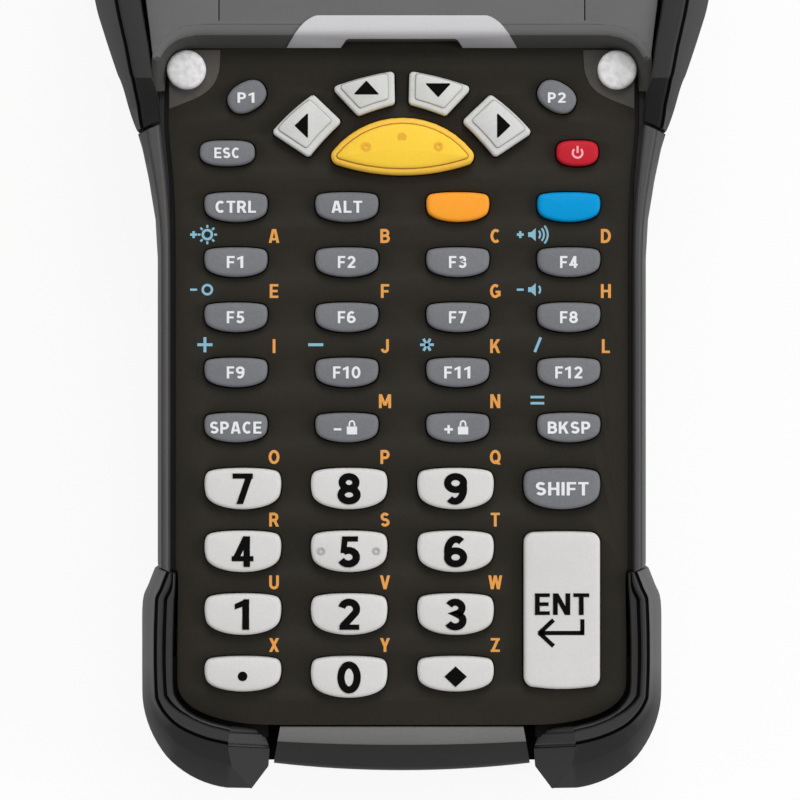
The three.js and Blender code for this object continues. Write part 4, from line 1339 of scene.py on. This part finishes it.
# Six screws hold the back, each in a counterbore and with a hexagonal socket.
BORE_DEPTH = 1.4
BACK_SCREWS = [(side * x, y) for side in (-1, 1) for x, y in ((28, 100), (30, 40), (28, -12))]
for i, (x, y) in enumerate(BACK_SCREWS):
    cut_out(rear, plate("bore", [moved(circle(2.9, 40), x, y)], -1, BORE_DEPTH, SHELL))
    screw = plate(f"back_screw_{i}", [moved(circle(2.5, 40), x, y)], 0.35, BORE_DEPTH + 0.05, STEEL, 0.3, 3)
    cut_out(screw, plate("socket", [moved(circle(1.2, 6), x, y)], -1, 0.95, STEEL))
    finish_piece(screw, HOUSING)
finish_piece(rear, HOUSING, ["rear_housing"])
for node, piece, material, radius, slot in (
        ("battery_pack", "battery_shell", BATTERY, 0.45, "battery"),
        ("battery_latch", "battery_latch_button", LATCH, 0.5, "latch")):
    finish_piece(refined(node, piece, material, radius), node, [node])

# The end bar bows down between the corner bumpers, light grey above its ridge; below it a dark grey is
# painted as shade on the slope.
bar_low = box_mm("end_bar")[0]
BAR_HALF = 17.75
BAR_SLANT = 0.19
BAR_TOP_Y = -106.0
bar_rings = []
for i in range(17):
    across = 1 - 2 * i / 16
    bow = 1 - across ** 2
    ridge_y = -108.3 - 0.5 * bow
    low_y = -111.8 - 1.1 * bow
    profile = [(BAR_TOP_Y, bar_low.z), (BAR_TOP_Y, 33.2), (BAR_TOP_Y - 0.1, 33.5), (BAR_TOP_Y - 0.35, 33.6),
               (ridge_y + 0.35, 33.35), (ridge_y + 0.05, 33.15), (ridge_y - 0.2, 32.8), (low_y + 0.6, 29.6),
               (low_y + 0.2, 28.9), (low_y, 28.0), (low_y, bar_low.z)]
    bar_rings.append([((BAR_HALF + (BAR_TOP_Y - y) * BAR_SLANT) * across, y, z) for y, z in profile])
end_bar = loft("end_bar_shell", bar_rings, [BAR, BAR_SLOPE_SHADE], 40, columns=[1, 0, 0, 0, 0, 1, 1, 1, 1, 1, 1])
socket_low, socket_high = box_mm("dock_connector")
cut_out(end_bar, slot_cutter(socket_high.x + 0.3, -115, -103, socket_low.z - 0.3, socket_high.z + 0.3, 0.8))
finish_piece(end_bar, HOUSING, ["end_bar"])

# Gilt contacts in the dock connector.
CONTACTS = 9
CONTACT_PITCH = 2.2
for i in range(CONTACTS):
    contact = plate(f"contact_{i}", [rounded_box(1.1, 2.6, 0.3, 3)], 0, 0.25, GILT, 0.06, 2)
    contact.rotation_euler = (math.pi / 2, 0, 0)
    contact.location = ((i - (CONTACTS - 1) / 2) * CONTACT_PITCH * MM, (socket_low.y + 0.05) * MM,
                        (socket_low.z + socket_high.z) / 2 * MM)
    finish_piece(contact, HOUSING)

# Below the panel's lower corners a near-black ledge closes the gap to the corner bumpers, and near-black
# pieces close the gaps between them and the bar; their colour is painted shade, standing in for the shade in
# those gaps.
LEDGE = [(31, -96), (35, -96), (35, -101), (33.9, -103), (32, -105), (29, -106.6), (24, -107.5),
         (19.5, -107.7), (19.5, -104), (25, -103.5), (29, -102), (31, -99)]
BAR_GAP_FILL = [(16.9, -105.2), (20.8, -105.6), (20.6, -110.6), (19.6, -111.3), (17.6, -111.3)]
for piece, shape, low, high, slot in (("corner_ledge_", LEDGE, 22.5, BEZEL_TOP - 1.4, "display_frame"),
                                      ("bar_gap_shade_", BAR_GAP_FILL, bar_low.z + 1, 28.6, "end_bar")):
    for side, name in SIDES:
        dark = plate(piece + name, [anticlockwise(sided(side, shape))], low, high, CREASE_SHADE, 0.2, 1)
        finish_piece(dark, HOUSING)

# ---- Display --------------------------------------------------------------------------

for node, piece, material, radius in (("display_glass", "display_pane", GLASS_BORDER, 0.35),
                                      ("scan_window", "scan_pane", SCAN_GLASS, 0.3)):
    finish_piece(refined(node, piece, material, radius), HOUSING, [node])
screen_y = (glass_low.y + glass_high.y) / 2
screen = plate("display_active_area", [moved(rounded_box(58, 76.5, 0.6, 4), 0, screen_y)], GLASS_TOP - 0.2,
               GLASS_TOP + 0.02, SCREEN)
finish_piece(screen, HOUSING)
for node, material in (("display_module", BLACK_AND_GAP_SHADE), ("main_board", BOARD), ("key_mat", MAT_RUBBER),
                       ("dock_connector", BLACK_AND_GAP_SHADE)):
    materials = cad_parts[node].data.materials
    materials.clear()
    materials.append(material)

# ---- Stage, lights and camera ------------------------------------------------------------

FLOOR = moulded("floor", (250, 250, 250), 0.9, 0.0, grain=200, depth=0.0, mottle=0.004)
WHITE_SHARE = 0.9
WORLD_LIGHT = 0.42


def seen_directly(tree):
    """A socket that is 1 for rays from the camera, a mirror or glass, and 0 for light on the object."""
    path = tree.nodes.new("ShaderNodeLightPath")
    seen = path.outputs["Is Camera Ray"]
    for kind in ("Is Glossy Ray", "Is Transmission Ray"):
        either = tree.nodes.new("ShaderNodeMath")
        either.operation = "MAXIMUM"
        tree.links.new(seen, either.inputs[0])
        tree.links.new(path.outputs[kind], either.inputs[1])
        seen = either.outputs[0]
    return seen


def brighten_floor():
    """Seen directly or mirrored, most of the floor's colour is plain white and the rest keeps the shadow."""
    nodes = FLOOR.node_tree.nodes
    links = FLOOR.node_tree.links
    white = nodes.new("ShaderNodeEmission")
    white.inputs["Color"].default_value = (1, 1, 1, 1)
    white.inputs["Strength"].default_value = 1.0
    share = nodes.new("ShaderNodeMath")
    share.operation = "MULTIPLY"
    share.inputs[1].default_value = WHITE_SHARE
    links.new(seen_directly(FLOOR.node_tree), share.inputs[0])
    mix = nodes.new("ShaderNodeMixShader")
    links.new(share.outputs[0], mix.inputs["Fac"])
    links.new(nodes["Principled BSDF"].outputs["BSDF"], mix.inputs[1])
    links.new(white.outputs["Emission"], mix.inputs[2])
    links.new(mix.outputs["Shader"], nodes["Material Output"].inputs["Surface"])


brighten_floor()
FLOOR_HALF = 3000
FLOOR_DROP = -0.1
floor = mesh_object("floor", [(x * FLOOR_HALF, y * FLOOR_HALF, FLOOR_DROP)
                              for x, y in ((-1, -1), (1, -1), (1, 1), (-1, 1))], [(0, 1, 2, 3)], FLOOR)

world = bpy.data.worlds.new("studio")
bpy.context.scene.world = world
world.use_nodes = True
tree = world.node_tree
background = tree.nodes["Background"]
background.inputs["Color"].default_value = (1, 1, 1, 1)
strength = tree.nodes.new("ShaderNodeMapRange")
strength.inputs["To Min"].default_value = WORLD_LIGHT
strength.inputs["To Max"].default_value = 1.0
tree.links.new(seen_directly(tree), strength.inputs["Value"])
tree.links.new(strength.outputs["Result"], background.inputs["Strength"])

LIGHT_TARGET = (0, -0.05, 0)


def softbox(name, place, size, power):
    data = bpy.data.lights.new(name, "AREA")
    data.shape = "SQUARE"
    data.size = size
    data.energy = power
    lamp = add_object(name, data)
    lamp.location = place
    lamp.rotation_euler = (Vector(LIGHT_TARGET) - Vector(place)).to_track_quat("-Z", "Y").to_euler()


# The main light comes from beyond the head, and a weaker one from each side.
softbox("key_light", (0.15, 0.95, 1.15), 0.7, 10.2)
softbox("right_light", (1.1, -0.1, 0.75), 0.6, 7.0)
softbox("left_light", (-1.1, -0.1, 0.75), 0.6, 1.2)

# The camera looks straight down on the lower half, from far off with a long lens.
FIELD = 116.8
LENS = 200
SENSOR = 36
CAMERA_X = -0.26
CAMERA_Y = -58.34
camera_data = bpy.data.cameras.new("camera")
camera_data.lens = LENS
camera_data.sensor_width = SENSOR
camera = add_object("camera", camera_data)
camera.location = (CAMERA_X * MM, CAMERA_Y * MM, (BEZEL_TOP + FIELD * LENS / SENSOR) * MM)
bpy.context.scene.camera = camera
bpy.context.scene.view_settings.view_transform = "Standard"
